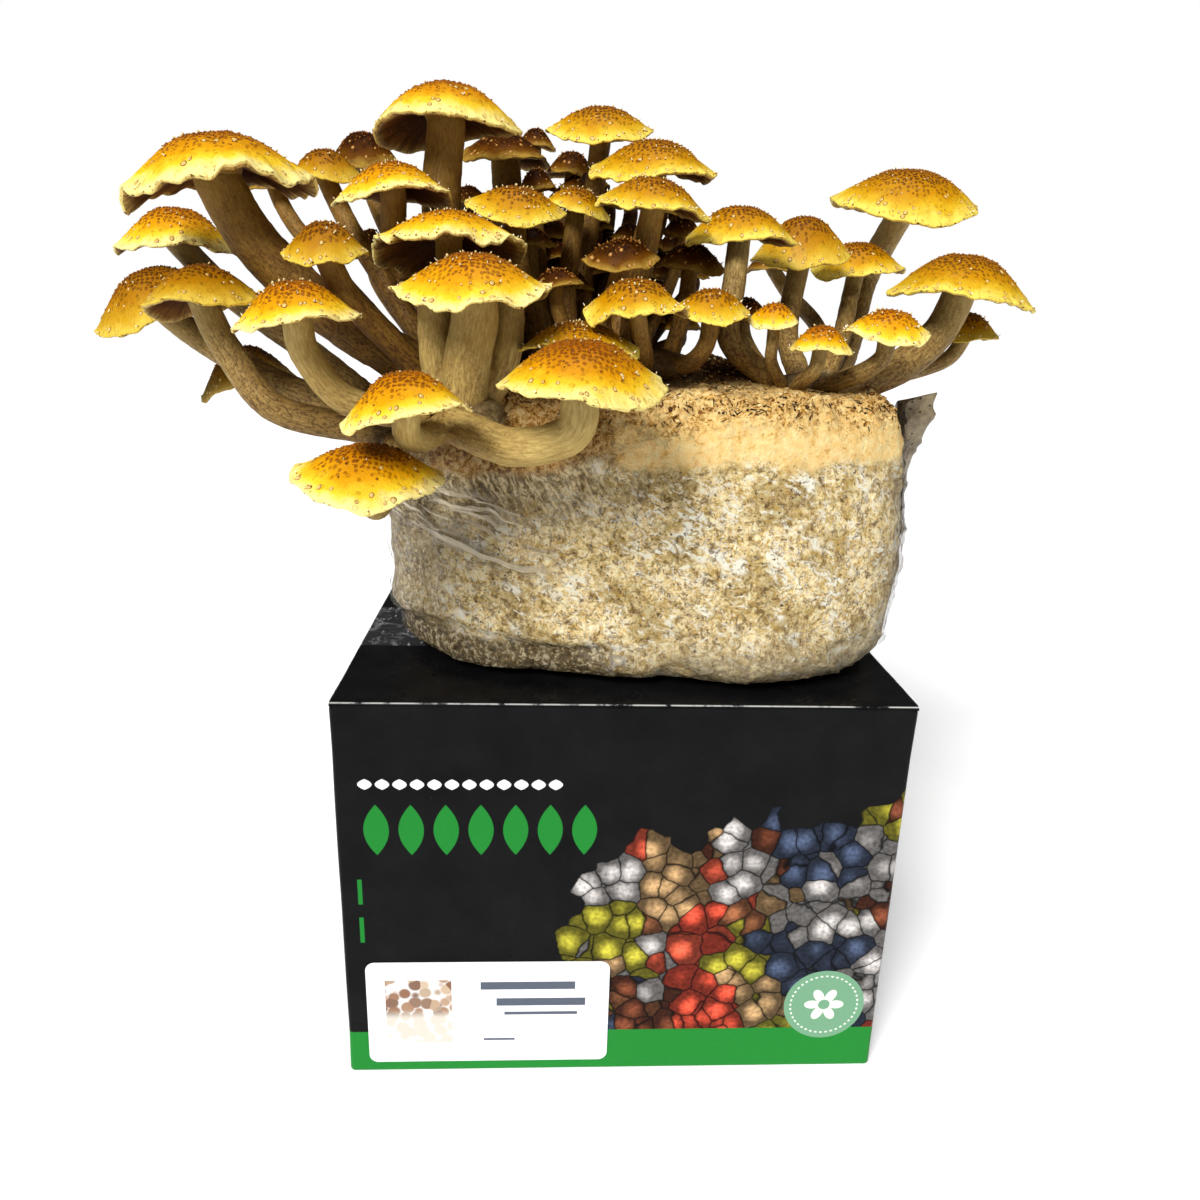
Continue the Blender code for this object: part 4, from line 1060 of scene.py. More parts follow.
CLUMPS = {
    "left_outer": ((-84, -42, 246), (9, 14, 8), (
        Mushroom((-167, 4, 304), 43, 14, (1, 5), 9, ((-84, -38, 248), (-118, 0, 266), (-151, 18, 285))),
        Mushroom((-170, -8, 280), 48, 17, (-19, 5), 9, ((-86, -42, 247), (-126, -26, 258), (-157, -10, 272))),
        Mushroom((-141, -50, 284), 38, 13, (-9, -4), 9,
                 ((-86, -50, 245), (-118, -55, 252), (-134, -51, 270))),
        Mushroom((-148, 14, 254), 38, 15, (-14, 0), 8, ((-88, -38, 246), (-112, -14, 245), (-136, 8, 248))),
        Mushroom((-83, -90, 235), 46, 12, (2, 3), 8, ((-80, -50, 244), (-82, -62, 229), (-83, -82, 226))),
    )),
    "left_front": ((-56, -58, 252), (15, 10, 8), (
        Mushroom((-107, -68, 282), 39, 11, (-5, 8), 9, ((-68, -60, 252), (-93, -63, 256), (-105, -66, 270))),
        Mushroom((-53, -62, 290), 51, 13, (-1, 3), 14, ((-58, -58, 252), (-56, -59, 268), (-53, -61, 282))),
        Mushroom((-20, -95, 266), 50, 13, (-1, 7), 11, ((-60, -64, 250), (-40, -84, 246), (-22, -94, 252))),
        Mushroom((-70, -96, 257), 38, 12, (-8, 1), 8, ((-62, -62, 250), (-68, -76, 247), (-71, -90, 250))),
    )),
    "left_back": ((-58, -22, 256), (18, 16, 9), (
        Mushroom((-137, -35, 321), 61, 17, (-6, 3), 15,
                 ((-68, -28, 260), (-102, -34, 281), (-125, -36, 302))),
        Mushroom((-100, -54, 300), 27, 11, (-2, 6), 8, ((-68, -36, 258), (-84, -45, 276), (-95, -52, 289))),
        Mushroom((-113, 10, 329), 28, 11, (-6, 5), 7, ((-66, -20, 260), (-90, -8, 294), (-104, 4, 313))),
        Mushroom((-137, 28, 327), 22, 9, (4, 5), 6, ((-70, -16, 258), (-102, 6, 287), (-128, 22, 313))),
        Mushroom((-104, 40, 338), 28, 13, (-2, 3), 7, ((-62, -8, 260), (-80, 16, 290), (-98, 34, 322))),
        Mushroom((-69, 16, 348), 55, 17, (-5, -2), 14, ((-60, -14, 258), (-68, 6, 288), (-71, 13, 322))),
        Mushroom((-85, -12, 322), 42, 12, (-4, 0), 9, ((-64, -24, 258), (-79, -6, 286), (-86, -3, 304))),
        Mushroom((-64, -28, 303), 53, 14, (-4, -14), 9, ((-58, -30, 258), (-61, -35, 276), (-63, -33, 291))),
        Mushroom((-103, 42, 307), 15, 8, (-4, 0), 5, ((-66, -8, 260), (-84, 14, 276), (-100, 34, 294))),
        Mushroom((-49, 63, 345), 39, 11, (4, 4), 12, ((-50, -10, 258), (-49, 28, 296), (-48, 54, 328))),
    )),
    "middle_back": ((-14, 10, 266), (22, 14, 8), (
        Mushroom((-37, 88, 354), 18, 8, (4, 5), 5, ((-26, 18, 266), (-30, 52, 300), (-36, 80, 336))),
        Mushroom((-10, 38, 352), 43, 11, (-1, 9), 8, ((-16, 16, 268), (-16, 38, 300), (-12, 43, 332))),
        Mushroom((-21, 72, 341), 24, 10, (2, 4), 6, ((-16, 20, 266), (-20, 48, 298), (-21, 66, 326))),
        Mushroom((-35, 34, 331), 16, 8, (-4, 5), 5, ((-26, 12, 266), (-32, 24, 294), (-35, 32, 318))),
        Mushroom((-42, -6, 319), 37, 9, (4, 12), 8, ((-30, 4, 266), (-37, -4, 286), (-42, -7, 306)), 0.9),
        Mushroom((-20, 18, 323), 27, 8, (10, 10), 7, ((-20, 8, 268), (-23, 12, 290), (-21, 17, 310))),
        Mushroom((10, 18, 337), 49, 12, (1, 10), 9, ((-4, 12, 268), (4, 16, 300), (10, 20, 323)), 0.95),
        Mushroom((24, 36, 316), 17, 8, (0, 4), 5, ((4, 16, 266), (14, 26, 284), (22, 35, 303))),
        Mushroom((-37, 16, 309), 20, 7, (-4, 3), 5, ((-26, 10, 266), (-32, 14, 284), (-36, 16, 299))),
    )),
    "middle_front": ((6, -26, 268), (20, 10, 7), (
        Mushroom((6, -23, 321), 41, 10, (8, 9), 8, ((0, -20, 268), (2, -13, 292), (5, -18, 310)), 0.9),
        Mushroom((-5, -35, 302), 27, 8, (-3, 8), 6, ((-4, -26, 268), (-11, -29, 282), (-7, -34, 293)), 0.9),
        Mushroom((24, 5, 303), 27, 9, (1, 10), 6, ((14, -20, 268), (20, -6, 282), (23, 4, 292))),
        Mushroom((-1, -53, 287), 35, 10, (-1, 6), 6, ((4, -30, 266), (4, -37, 271), (1, -49, 279))),
        Mushroom((27, -33, 286), 28, 9, (-1, 6), 6, ((8, -28, 268), (20, -31, 269), (26, -33, 276))),
        Mushroom((-20, -52, 275), 40, 8, (-1, 4), 7, ((-6, -30, 266), (-17, -38, 263), (-20, -50, 266))),
        Mushroom((-27, -26, 294), 20, 6, (-5, 3), 5, ((-6, -25, 268), (-20, -26, 275), (-26, -26, 285))),
    )),
    "right": ((70, -14, 260), (18, 13, 8), (
        Mushroom((41, -2, 313), 42, 12, (0, 7), 8, ((56, -14, 262), (37, -19, 277), (38, -14, 297)), 0.9),
        Mushroom((72, 25, 307), 40, 18, (-4, 3), 8, ((68, -8, 262), (65, 8, 277), (68, 20, 292)), 0.9),
        Mushroom((68, 60, 305), 24, 9, (-3, 4), 6, ((76, 0, 262), (85, 36, 280), (76, 58, 295)), 0.9),
        Mushroom((102, 48, 306), 40, 11, (-2, 12), 7, ((78, -4, 262), (90, 20, 278), (99, 44, 293)), 0.85),
        Mushroom((124, 60, 331), 63, 17, (0, 9), 11, ((82, 2, 260), (103, 52, 277), (115, 75, 304)), 0.95),
        Mushroom((127, -3, 296), 55, 15, (2, 6), 12, ((82, -12, 260), (106, -7, 269), (121, -3, 282))),
        Mushroom((142, 21, 280), 26, 10, (1, 5), 6, ((86, -4, 260), (114, 10, 265), (135, 19, 271))),
        Mushroom((89, -37, 281), 30, 9, (0, 6), 6, ((70, -22, 261), (80, -31, 266), (88, -37, 273))),
        Mushroom((65, -40, 276), 22, 8, (0, 6), 5, ((62, -24, 261), (61, -33, 264), (64, -40, 269))),
        Mushroom((50, -31, 284), 18, 7, (-1, 10), 4, ((58, -20, 261), (51, -28, 270), (50, -31, 277))),
        Mushroom((46, 6, 285), 21, 8, (0, 3), 5, ((58, -8, 262), (51, -1, 270), (47, 5, 278))),
    )),
}
CAP_HOLLOW = 0.42
STEM_FOOT = 1.12
STEM_COLUMNS = 32
ROOT_MARK = -0.02
PALE_FOOT = 0.42
RING_EVERY = 1.4 * MM


def stem_tube(mushroom, seed):
    """A tube along the stem's route: its radius narrows upwards, swells in ripples and carries fine ribs."""
    seat = mushroom.at + mushroom.axis * (CAP_HOLLOW * mushroom.rise - 0.3 * MM)
    neck = seat - mushroom.axis * 0.45 * mushroom.stem
    knots = np.concatenate([mushroom.route, [neck, seat]])
    length = np.linalg.norm(np.diff(knots, axis=0), axis=1).sum()
    route = smooth_route(knots, max(int(length / RING_EVERY), 12))
    forward = np.gradient(route, axis=0)
    forward /= np.linalg.norm(forward, axis=1, keepdims=True)
    sideways = np.eye(3)[np.abs(forward).max(axis=0).argmin()]
    side = sideways - forward * (forward @ sideways)[:, None]
    side /= np.linalg.norm(side, axis=1, keepdims=True)
    across = np.cross(forward, side)
    share = np.linspace(0, 1, len(route))[:, None]
    angle = np.linspace(0, 2 * math.pi, STEM_COLUMNS + 1)[None, :-1]
    run = share * length
    around = points_at(np.cos(angle), np.sin(angle), run / (9 * MM) + 7 * seed)
    ribs = 0.010 * bumps(around * (6, 6, 0.5), 1, seed) + 0.016 * rough(around * (2, 2, 3), 1, 2, seed + 3)
    ribs += 0.055 * np.clip(1.1 - 1.3 * share, 0, 1) * rough(around * (4, 4, 7), 1, 2, seed + 9)
    knobs = 0.035 * bumps(around * (0.7, 0.7, 0.6), 1, seed + 5)
    flare = 0.16 * np.exp(-((1 - share) * length / (2.5 * MM)) ** 2)
    radius = mushroom.stem / 2 * (1 + (STEM_FOOT - 1) * (1 - share) + flare + ribs + knobs)
    round_off = np.stack([np.cos(angle), np.sin(angle)], -1) * radius[..., None]
    points = route[:, None] + round_off[..., :1] * side[:, None] + round_off[..., 1:] * across[:, None]
    grain = points_at(np.cos(angle) * mushroom.stem / 2, np.sin(angle) * mushroom.stem / 2, run + 0.1 * seed)
    return points, grain, share + 0 * angle


def root_knob(centre, half_sizes, seed):
    """A clump's root: an ellipsoid with a woolly, lumpy skin."""
    rise = np.linspace(-0.49, 0.49, 26)[:, None] * math.pi
    angle = np.linspace(0, 2 * math.pi, 49)[None, :-1]
    ball = points_at(np.cos(rise) * np.cos(angle), np.cos(rise) * np.sin(angle), np.sin(rise))
    swell = 0.84 + 0.07 * rough(ball, 0.6, 5, seed)
    return np.array(centre) * MM + ball * swell[..., None] * np.array(half_sizes) * MM, ball * 12 * MM


def join_grids(grids, marks):
    """Closed tubes made one mesh: their points, faces and marks follow each other."""
    points, faces, first = [], [], 0
    values = {name: [] for name in marks[0]}
    for grid, mark in zip(grids, marks):
        rows, columns = grid.shape[:2]
        points += [grid.reshape(-1, 3), [grid[0].mean(0), grid[-1].mean(0)]]
        faces.append([part + first for part in tube_faces(rows, columns)])
        first += rows * columns + 2
        for name, value in mark.items():
            flat = value.reshape(rows * columns, -1)
            values[name] += [flat, [flat[0], flat[-1]]]
    parts = [np.concatenate(part) for part in zip(*faces)]
    joined = {name: np.concatenate(value) for name, value in values.items()}
    return np.concatenate(points), parts, joined


def stem_finish(name, tint):
    """Pale fibrous flesh, cream under the cap, greyer and flecked with brown scales towards the root."""
    flesh = Finish(name, Specular_IOR_Level=0.25, Roughness=0.6)
    along = flesh.mark("along")
    grain = flesh.mark_place("grain")
    clouds = flesh.noise(6, 4.0, 0.6, place=grain)
    height = clouds * 0.5 + along
    fibres = flesh.noise(0.7, 4.0, 0.6, place=flesh.stretched(grain, 1.0, 1.0, 0.22))
    pale = fibres.ramp((0.30, (0.46, 0.340, 0.150)), (0.50, (0.62, 0.49, 0.240)), (0.72, (0.78, 0.66, 0.38)))
    low = fibres.ramp((0.30, (0.22, 0.138, 0.048)), (0.50, (0.40, 0.275, 0.110)), (0.72, (0.60, 0.46, 0.21)))
    colour = flesh.blend(height.step(0.55, 1.05), low, pale)
    flecks = flesh.noise(0.85, 4.0, 0.65, place=grain).step(0.52, 0.60) * height.step(1.10, 0.45, 0.0, 0.75)
    colour = flesh.blend(flecks, colour, (0.145, 0.080, 0.030))
    wool = flesh.noise(2.5, 6.0, 0.7, place=grain).ramp(
        (0.35, (0.10, 0.065, 0.030)), (0.50, (0.19, 0.135, 0.075)), (0.64, (0.36, 0.28, 0.18)))
    colour = flesh.blend(along.step(0.05, 0.0), colour, wool)
    flesh.paint(Base_Color=flesh.tinted(colour, tint), Subsurface_Weight=0.12, Subsurface_Scale=2 * MM,
                Normal=flesh.relief(flecks + fibres, 0.40, 0.8))
    return flesh


def young_mushrooms():
    """Thin young mushrooms that crowd the shade behind the middle clump, in four rising rows."""
    row, column = np.divmod(np.arange(40), 10)
    jitter = np.random.default_rng(5).uniform(-1, 1, (40, 4))
    x = -72 + 10.5 * column + 5 * (row % 2) + 3 * jitter[:, 0]
    y = 36 + 10 * row + 3 * jitter[:, 1]
    z = 290 + 14 * row + 6 * jitter[:, 2] - 0.15 * np.abs(x + 15)
    width = 19 + 4 * jitter[:, 3]
    young = []
    for spot in np.stack([x, y, z, width], -1):
        top, breadth = spot[:3], spot[3]
        foot = np.array([-12 + 0.45 * top[0], 14 + 0.3 * (top[1] - 36), 262])
        half_way = foot * 0.5 + top * 0.5 + (0, 4, -2)
        young.append(Mushroom(top, breadth, 7, (0.1 * top[0], 2), 6, (foot, half_way, top - (0, 0, 6))))
    return tuple(young)


def clump_stems(stalks, root, foot_mark):
    """A clump's stems and root made one mesh. Its mark along runs from a stem's foot to 1 under the cap."""
    grids, marks = [], []
    for number, mushroom in enumerate(stalks, 1):
        tube, grain, along = stem_tube(mushroom, number)
        grids.append(tube)
        marks.append({"grain": grain, "along": foot_mark + (1 - foot_mark) * along})
    knob, knob_grain = root
    grids.append(knob)
    marks.append({"grain": knob_grain, "along": np.full(knob.shape[:2], ROOT_MARK)})
    return join_grids(grids, marks)


# Two more stalks press against the back of the tall one at the front and end under its cap.
TWIN_STALKS = (
    Mushroom((-67, -48, 289), 20, 6, (0, 0), 11, ((-62, -50, 252), (-66, -50, 268), (-67, -48, 281))),
    Mushroom((-43, -47, 289), 20, 6, (0, 0), 10, ((-54, -50, 252), (-45, -50, 268), (-43, -48, 281))),
)
CLUMPS["young"] = ((-14, 22, 262), (18, 10, 6), young_mushrooms())
brown_flesh = stem_finish("stem_flesh_brown", (0.48, 0.33, 0.11))
olive_flesh = stem_finish("stem_flesh_olive", (0.64, 0.55, 0.35))
clump_flesh = {
    "left_outer": olive_flesh, "left_front": stem_finish("stem_flesh", (0.80, 0.71, 0.44)),
    "left_back": brown_flesh, "middle_back": brown_flesh, "middle_front": brown_flesh, "right": olive_flesh,
    # The young stems' dark tint is painted shade, for the shade they stand in behind the clumps.
    "young": stem_finish("stem_flesh_shaded", (0.24, 0.15, 0.08)),
}
for clump_name, (root_centre, root_sizes, mushrooms) in CLUMPS.items():
    stalks, foot_mark = mushrooms, 0.0
    if clump_name == "left_front":
        stalks, foot_mark = mushrooms + TWIN_STALKS, PALE_FOOT
    root = root_knob(root_centre, root_sizes, len(mushrooms))
    stem_points, stem_faces, stem_values = clump_stems(stalks, root, foot_mark)
    stem_piece = make_piece("stalks_" + clump_name, stem_points, stem_faces, [clump_flesh[clump_name]],
                            marks=stem_values)
    if clump_name != "young":
        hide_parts("stems_" + clump_name)


# Caps: one on each stem, domed, sticky and golden, browner at the crown, lemon at the scalloped rim,
# with close gills underneath. Caps in the shade, and the dark ones far back, have painted shade in their
# skins, from duller to near black.
CAP_LIP = 0.015
CAP_DROOP = 2.4
CAP_RIPPLE = 0.035
CAP_WAVE = 0.045
CAP_RISE = 0.96
CAP_TURN = 2.4
LIP_ROWS = 3
GILL_ROWS = 10
# Caps in deep shade at the back: with the young ones they get the near-black skin, painted shade.
DEEP_SHADE_CAPS = (
    "left_back_4", "left_back_5", "left_back_9", "left_back_10", "middle_back_1", "middle_back_3",
    "middle_back_4", "middle_back_8", "middle_back_9", "middle_front_2", "middle_front_3", "middle_front_7",
    "right_3", "right_11",
)
# The caps in these two lists stand in the shade of others: their duller skins are painted shade.
DIM_SHADE_CAPS = ("left_outer_4",)
SHADED_CAPS = ("left_outer_2", "left_outer_3", "left_back_2", "left_back_3", "right_2", "right_7")
BRONZE_CLUMPS = ("right", "middle_back", "middle_front")

# How far a cap's brim flares like a hat's, and how deep its rim folds, where it isn't middling.
MIDDLING_FORM = (0.4, 0.022)
CAP_FORMS = {
    "left_outer_1": (0.35, 0.035), "left_outer_5": (0.45, 0.030), "left_front_1": (0.5, 0.028),
    "left_front_2": (0.75, 0.040), "left_front_3": (0.40, 0.022), "left_front_4": (0.55, 0.022),
    "left_back_1": (0.20, 0.050), "left_back_2": (0.45, 0.030), "left_back_6": (0.15, 0.015),
    "left_back_7": (0.50, 0.026), "left_back_8": (0.35, 0.050), "middle_back_7": (0.55, 0.030),
    "middle_front_1": (0.5, 0.030), "middle_front_4": (0.55, 0.045), "middle_front_6": (0.5, 0.035),
    "right_1": (0.35, 0.020), "right_5": (0.30, 0.018), "right_6": (0.45, 0.022),
}

# The rows and columns of a cap's upper skin, for widths in millimetres up to the first number.
CAP_GRIDS = ((25, 14, 96), (42, 20, 144), (math.inf, 26, 192))

# Each skin's colours at the crown, half way out, low down and at the rim, those of its spots, and its gloss.
# The shaded, dusky and dark skins are golden skins darkened by painted shade.
CAP_SKINS = {
    "golden": ("cap_skin", (0.47, 0.155, 0.001), (0.70, 0.32, 0.002), (0.86, 0.56, 0.022), (0.94, 0.79, 0.28),
               (0.17, 0.038, 0.001), 0.07),
    "ripe": ("cap_skin_ripe", (0.38, 0.112, 0.001), (0.64, 0.270, 0.001), (0.83, 0.52, 0.018),
             (0.92, 0.76, 0.24), (0.18, 0.042, 0.001), 0.07),
    "shaded": ("cap_skin_shaded", (0.26, 0.090, 0.001), (0.41, 0.175, 0.002), (0.54, 0.300, 0.012),
               (0.68, 0.48, 0.06), (0.065, 0.016, 0.001), 0.07),
    "bronze": ("cap_skin_bronze", (0.34, 0.125, 0.001), (0.50, 0.225, 0.001), (0.65, 0.39, 0.014),
               (0.82, 0.62, 0.10), (0.060, 0.013, 0.001), 0.07),
    "dusky": ("cap_skin_dim_shade", (0.12, 0.045, 0.002), (0.20, 0.090, 0.005), (0.27, 0.150, 0.016),
              (0.40, 0.27, 0.06), (0.035, 0.010, 0.001), 0.05),
    "dark": ("cap_skin_deep_shade", (0.030, 0.008, 0.001), (0.060, 0.017, 0.001), (0.13, 0.045, 0.002),
             (0.34, 0.20, 0.030), (0.010, 0.003, 0.001), 0.03),
}


def cap_flutter(outward):
    """How freely the skin waves at a share of the way out: not near the crown, fully at the rim."""
    return np.clip((outward - 0.3) / 0.7, 0, None) ** 1.5


def cap_profile(mushroom, outward):
    """A plain cap's height: a dome that falls with a power of outward, blended into a flared bell."""
    flare = mushroom.form[0]
    dome = 1 - outward ** CAP_DROOP
    bell = 0.5 + 0.5 * np.cos(math.pi * outward ** 1.35)
    return CAP_RISE * mushroom.rise * ((1 - flare) * dome + flare * bell)


def cap_top(mushroom, angle, outward):
    """The cap's upper skin in its own frame.

    The radius grows with outward and ripples three times round. The height is the plain profile's,
    waves twice round, and is gathered into radial ruffles towards the rim.
    """
    width, phase, frill = mushroom.width, mushroom.phase, mushroom.form[1]
    flutter = cap_flutter(outward)
    ruffles = 9 + round(width / (5 * MM))
    rim = np.clip((outward - 0.55) / 0.45, 0, 1) ** 2
    ring = points_at(np.cos(angle) * 3, np.sin(angle) * 3, phase + 0 * outward)
    uneven = bumps(ring, 1.0, seed=5)
    fine = bumps(ring * (5, 5, 1), 1.0, seed=6)
    gather = np.sin(ruffles * angle + 2.5 * uneven + phase)
    folds = 0.5 * np.sin(5 * angle + 3.1 * phase) + 0.35 * np.sin(8 * angle + 1.3 * phase)
    folds = folds + 0.5 * uneven + 0.22 * gather
    ragged = np.clip((outward - 0.9) / 0.1, 0, 1) ** 2 * (0.010 * fine + 0.006 * gather)
    spread = outward * (1 + CAP_RIPPLE * flutter * np.sin(3 * angle + phase))
    radius = width / 2 * (spread + ragged - 0.2 * frill * rim * folds)
    height = cap_profile(mushroom, outward) + CAP_WAVE * width * flutter * np.sin(2 * angle + 1.7 * phase)
    height = height + rim * (frill * folds + 0.004 * fine) * width
    skin = points_at(radius * np.cos(angle), radius * np.sin(angle) * mushroom.depth, height)
    lumps = 0.26 * rough(skin + phase, 5 * MM, 2, seed=9) + 0.10 * bumps(skin + phase, 1.6 * MM, seed=12)
    skin[..., 2] += lumps * MM * np.clip(outward * 6, 0, 1)
    return skin


def cap_under(mushroom, angle, inward, gill):
    """The cap's underside in its own frame: it rises from the lip to the stem, folded into gills."""
    seat = 1.05 * mushroom.stem / mushroom.width
    outward = 0.94 + (seat - 0.94) * inward
    roof = cap_profile(mushroom, outward)
    edge = cap_top(mushroom, angle, np.full_like(inward, 0.94))[..., 2] - roof[:1]
    lip = CAP_LIP * mushroom.width
    low = -lip + (CAP_HOLLOW * mushroom.rise + lip) * inward
    deep = 0.62 * np.clip(roof - low, 0, None) * np.sin(math.pi * np.clip(inward, 0, 1)) ** 0.6
    height = low + edge * (1 - inward) ** 1.5 + gill * np.minimum(deep, 0.085 * mushroom.width)
    ripple = CAP_RIPPLE * cap_flutter(outward) * np.sin(3 * angle + mushroom.phase)
    radius = mushroom.width / 2 * outward * (1 + ripple)
    return points_at(radius * np.cos(angle), radius * np.sin(angle) * mushroom.depth, height)


def cap_shell(mushroom):
    """The whole cap, closed: upper skin out to the rim, a thin rolled lip, then the gills in to the stem.

    Its faces are the skin, the crown's fan, the gills and the seat's fan.
    """
    skin_rows, columns = next(grid for width, *grid in CAP_GRIDS if mushroom.width < width * MM)
    angle = np.linspace(0, 2 * math.pi, columns + 1)[None, :-1]
    even = np.linspace(0.03, 1, skin_rows)[:, None]
    outward = 0.5 * np.sin(even * math.pi / 2) + 0.5 * even
    top = cap_top(mushroom, angle, outward)
    drop = np.array([0.35, 0.75, 1.0])[:, None, None] * (CAP_LIP * mushroom.width)
    shrink = np.array([1.0, 0.992, 0.972])[:, None, None]
    rolled = top[-1:] * np.concatenate([shrink, shrink, shrink ** 0], -1) - drop * (0, 0, 1)
    inward = np.linspace(0, 1, GILL_ROWS)[:, None]
    gill = (np.arange(columns) % 2)[None]
    grid = np.concatenate([top, rolled, cap_under(mushroom, angle, inward + 0 * angle, gill)])
    skin_rows += LIP_ROWS
    tip = grid[..., 0].size
    faces = [
        grid_faces(skin_rows, columns),
        fan_faces(0, columns, tip, outwards=False),
        grid_faces(GILL_ROWS + 1, columns, first=(skin_rows - 1) * columns),
        fan_faces(tip - columns, columns, tip + 1),
    ]
    row_marks = np.concatenate([outward[:, 0], np.full(LIP_ROWS, 1.02), 2 + inward[:, 0]])
    marks = {
        "outward": row_marks[:, None] + 0 * angle,
        "skin_place": grid,
        "fold": np.concatenate([np.zeros((skin_rows, columns)), np.repeat(gill * 1.0, GILL_ROWS, 0)]),
    }
    values = {}
    for mark, value in marks.items():
        flat = value.reshape(tip, -1)
        values[mark] = np.concatenate([flat, [flat[:columns].mean(0), flat[-columns:].mean(0)]])
    world = mushroom.at + grid @ mushroom.turn.T
    return np.concatenate([world.reshape(-1, 3), [world[0].mean(0), world[-1].mean(0)]]), faces, values


def spot_net(skin, place, clouds, outward):
    """Small brown spots, close at the crown and sparse and faint towards the rim."""
    reach, chance, _ = skin.cells(1.6, place=place, randomness=0.65, dimensions="2D")
    chosen = skin.part("X", chance) < outward.step(0.42, 0.85, 1.0, 0.06)
    return reach.step(0.44, 0.24) * chosen * (clouds * 0.3 + outward).step(0.50, 1.05, 0.92, 0.22)


def faint_rings(skin, place, outward):
    """Faint brown rings away from the crown, in three cells of five."""
    reach, chance, _ = skin.cells(3.6, place=place, randomness=0.8)
    ring = abs(reach - 0.20).step(0.075, 0.025)
    return ring * (skin.part("X", chance) < 0.60) * outward.step(0.40, 0.62, 0.0, 0.34)


def cap_finish(name, crown, middle, lower, rim, spot, gloss):
    """Sticky cap skin: the crown's colour runs through the middle's to the rim's, under a net of brown
    spots that thin out towards the rim."""
    skin = Finish(name, Specular_IOR_Level=gloss)
    outward = skin.mark("outward")
    place = skin.mark_place("skin_place")
    clouds = skin.noise(7, 4.0, 0.6, place=place)
    colour = (clouds * 0.34 + (outward - 0.17)).ramp(
        (0.26, crown), (0.53, tuple(np.add(crown, middle) / 2)), (0.69, middle), (0.83, lower), (0.97, rim))
    radial = skin.bearing(place)
    x, y = skin.part("X", radial), skin.part("Y", radial)
    rays = skin.add("CombineXYZ", X=x, Y=y, Z=outward * 0.5).outputs[0]
    streaks = skin.noise(50, 4.0, 0.6, place=rays).step(0.44, 0.28) * outward.step(0.35, 0.9, 0.0, 0.6)
    colour = skin.blend(streaks, colour, tuple(0.60 * v for v in middle))
    spots = spot_net(skin, place, clouds, outward)
    colour = skin.blend(spots | faint_rings(skin, place, outward), colour, spot)
    grease = skin.noise(3.4, 5.0, 0.7, place=place).step(0.50, 0.66, 0.0, 0.42) * outward.step(0.95, 0.6)
    colour = skin.blend(grease, colour, tuple(0.55 * v for v in crown))
    torn = outward.step(0.985, 1.01) * skin.noise(1.6, 3.0, place=place).step(0.54, 0.66)
    colour = skin.blend(torn, colour, (0.16, 0.075, 0.018))
    height = spots * 0.7 + skin.noise(1.0, 4.0, 0.6, place=place)
    skin.paint(Base_Color=colour, Subsurface_Weight=0.06, Subsurface_Scale=1.5 * MM,
               Roughness=clouds.step(0.3, 0.7, 0.30, 0.48), Coat_Weight=gloss * 0.5, Coat_Roughness=0.16,
               Normal=skin.relief(height, 0.40, 0.9))
    return skin


def gill_finish():
    """Gills: thin tan plates, ochre at the rim, dark brown in to the stem, deepened by painted shade under
    the cap.
    """
    gills = Finish("cap_gills", Roughness=0.75, Specular_IOR_Level=0.25)
    inward = gills.mark("outward") - 2.0
    place = gills.mark_place("skin_place")
    colour = (gills.noise(5, 4.0, place=place) * 0.3 + (inward - 0.15)).ramp(
        (0.0, (0.58, 0.38, 0.10)), (0.14, (0.25, 0.100, 0.016)), (0.45, (0.12, 0.036, 0.004)),
        (1.0, (0.04, 0.010, 0.001)))
    # Painted shade in the valleys between the plates.
    colour = gills.blend(gills.mark("fold") * 0.5, colour, (0.030, 0.009, 0.002))
    bunched = gills.noise(45, 2.0, place=gills.bearing(place)).step(0.56, 0.40, 0.0, 0.55)
    gills.paint(Base_Color=gills.blend(bunched, colour, (0.045, 0.014, 0.003)),
                Normal=gills.relief(gills.noise(0.8, 3.0, place=place), 0.2, 0.6))
    return gills


def cap_skin_kind(mushroom, clump_name, number):
    """Which of the skins a cap has, from where it stands: those in shade get a skin of painted shade."""
    if mushroom.dark:
        return "dark"
    if mushroom.name in DIM_SHADE_CAPS:
        return "dusky"
    if mushroom.name in SHADED_CAPS:
        return "shaded"
    if clump_name in BRONZE_CLUMPS and number < 8:
        return "bronze"
    return "ripe" if number % 3 == 0 else "golden"


cap_skins = {kind: cap_finish(*colours) for kind, colours in CAP_SKINS.items()}
cap_gills = gill_finish()
for clump_name, (_, _, mushrooms) in CLUMPS.items():
    for cap_number, mushroom in enumerate(mushrooms, 1):
        mushroom.name = f"{clump_name}_{cap_number}"
        mushroom.phase = CAP_TURN * cap_number
        mushroom.form = CAP_FORMS.get(mushroom.name, MIDDLING_FORM)
        # Young caps and those in deep shade get painted shade: the near-black skin and darker scales.
        mushroom.dark = clump_name == "young" or mushroom.name in DEEP_SHADE_CAPS
        cap_points, cap_faces, cap_values = cap_shell(mushroom)
        cap_skin = cap_skins[cap_skin_kind(mushroom, clump_name, cap_number)]
        cap_piece = make_piece("hat_" + mushroom.name, cap_points, cap_faces, [cap_skin, cap_gills],
                               slots=[0, 0, 1, 1], marks=cap_values)
        if clump_name != "young":
            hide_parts("cap_" + mushroom.name)


# Scales: soft brown and cream flecks of torn veil that stand on the caps, close and flat at the crown
# and as pale drops near the rim.
GOLDEN_ANGLE = math.pi * (3 - math.sqrt(5))
SCALE_AREA = 3.4 * MM * MM
SKIN_OVER_PLAN = 1.3
SCALE_SIDES = 5
WART_SIDES = 8
SHAGGY_CAPS = ("left_front_1", "left_front_2", "left_back_2", "left_back_7", "left_back_8", "right_5",
               "right_8", "right_9")


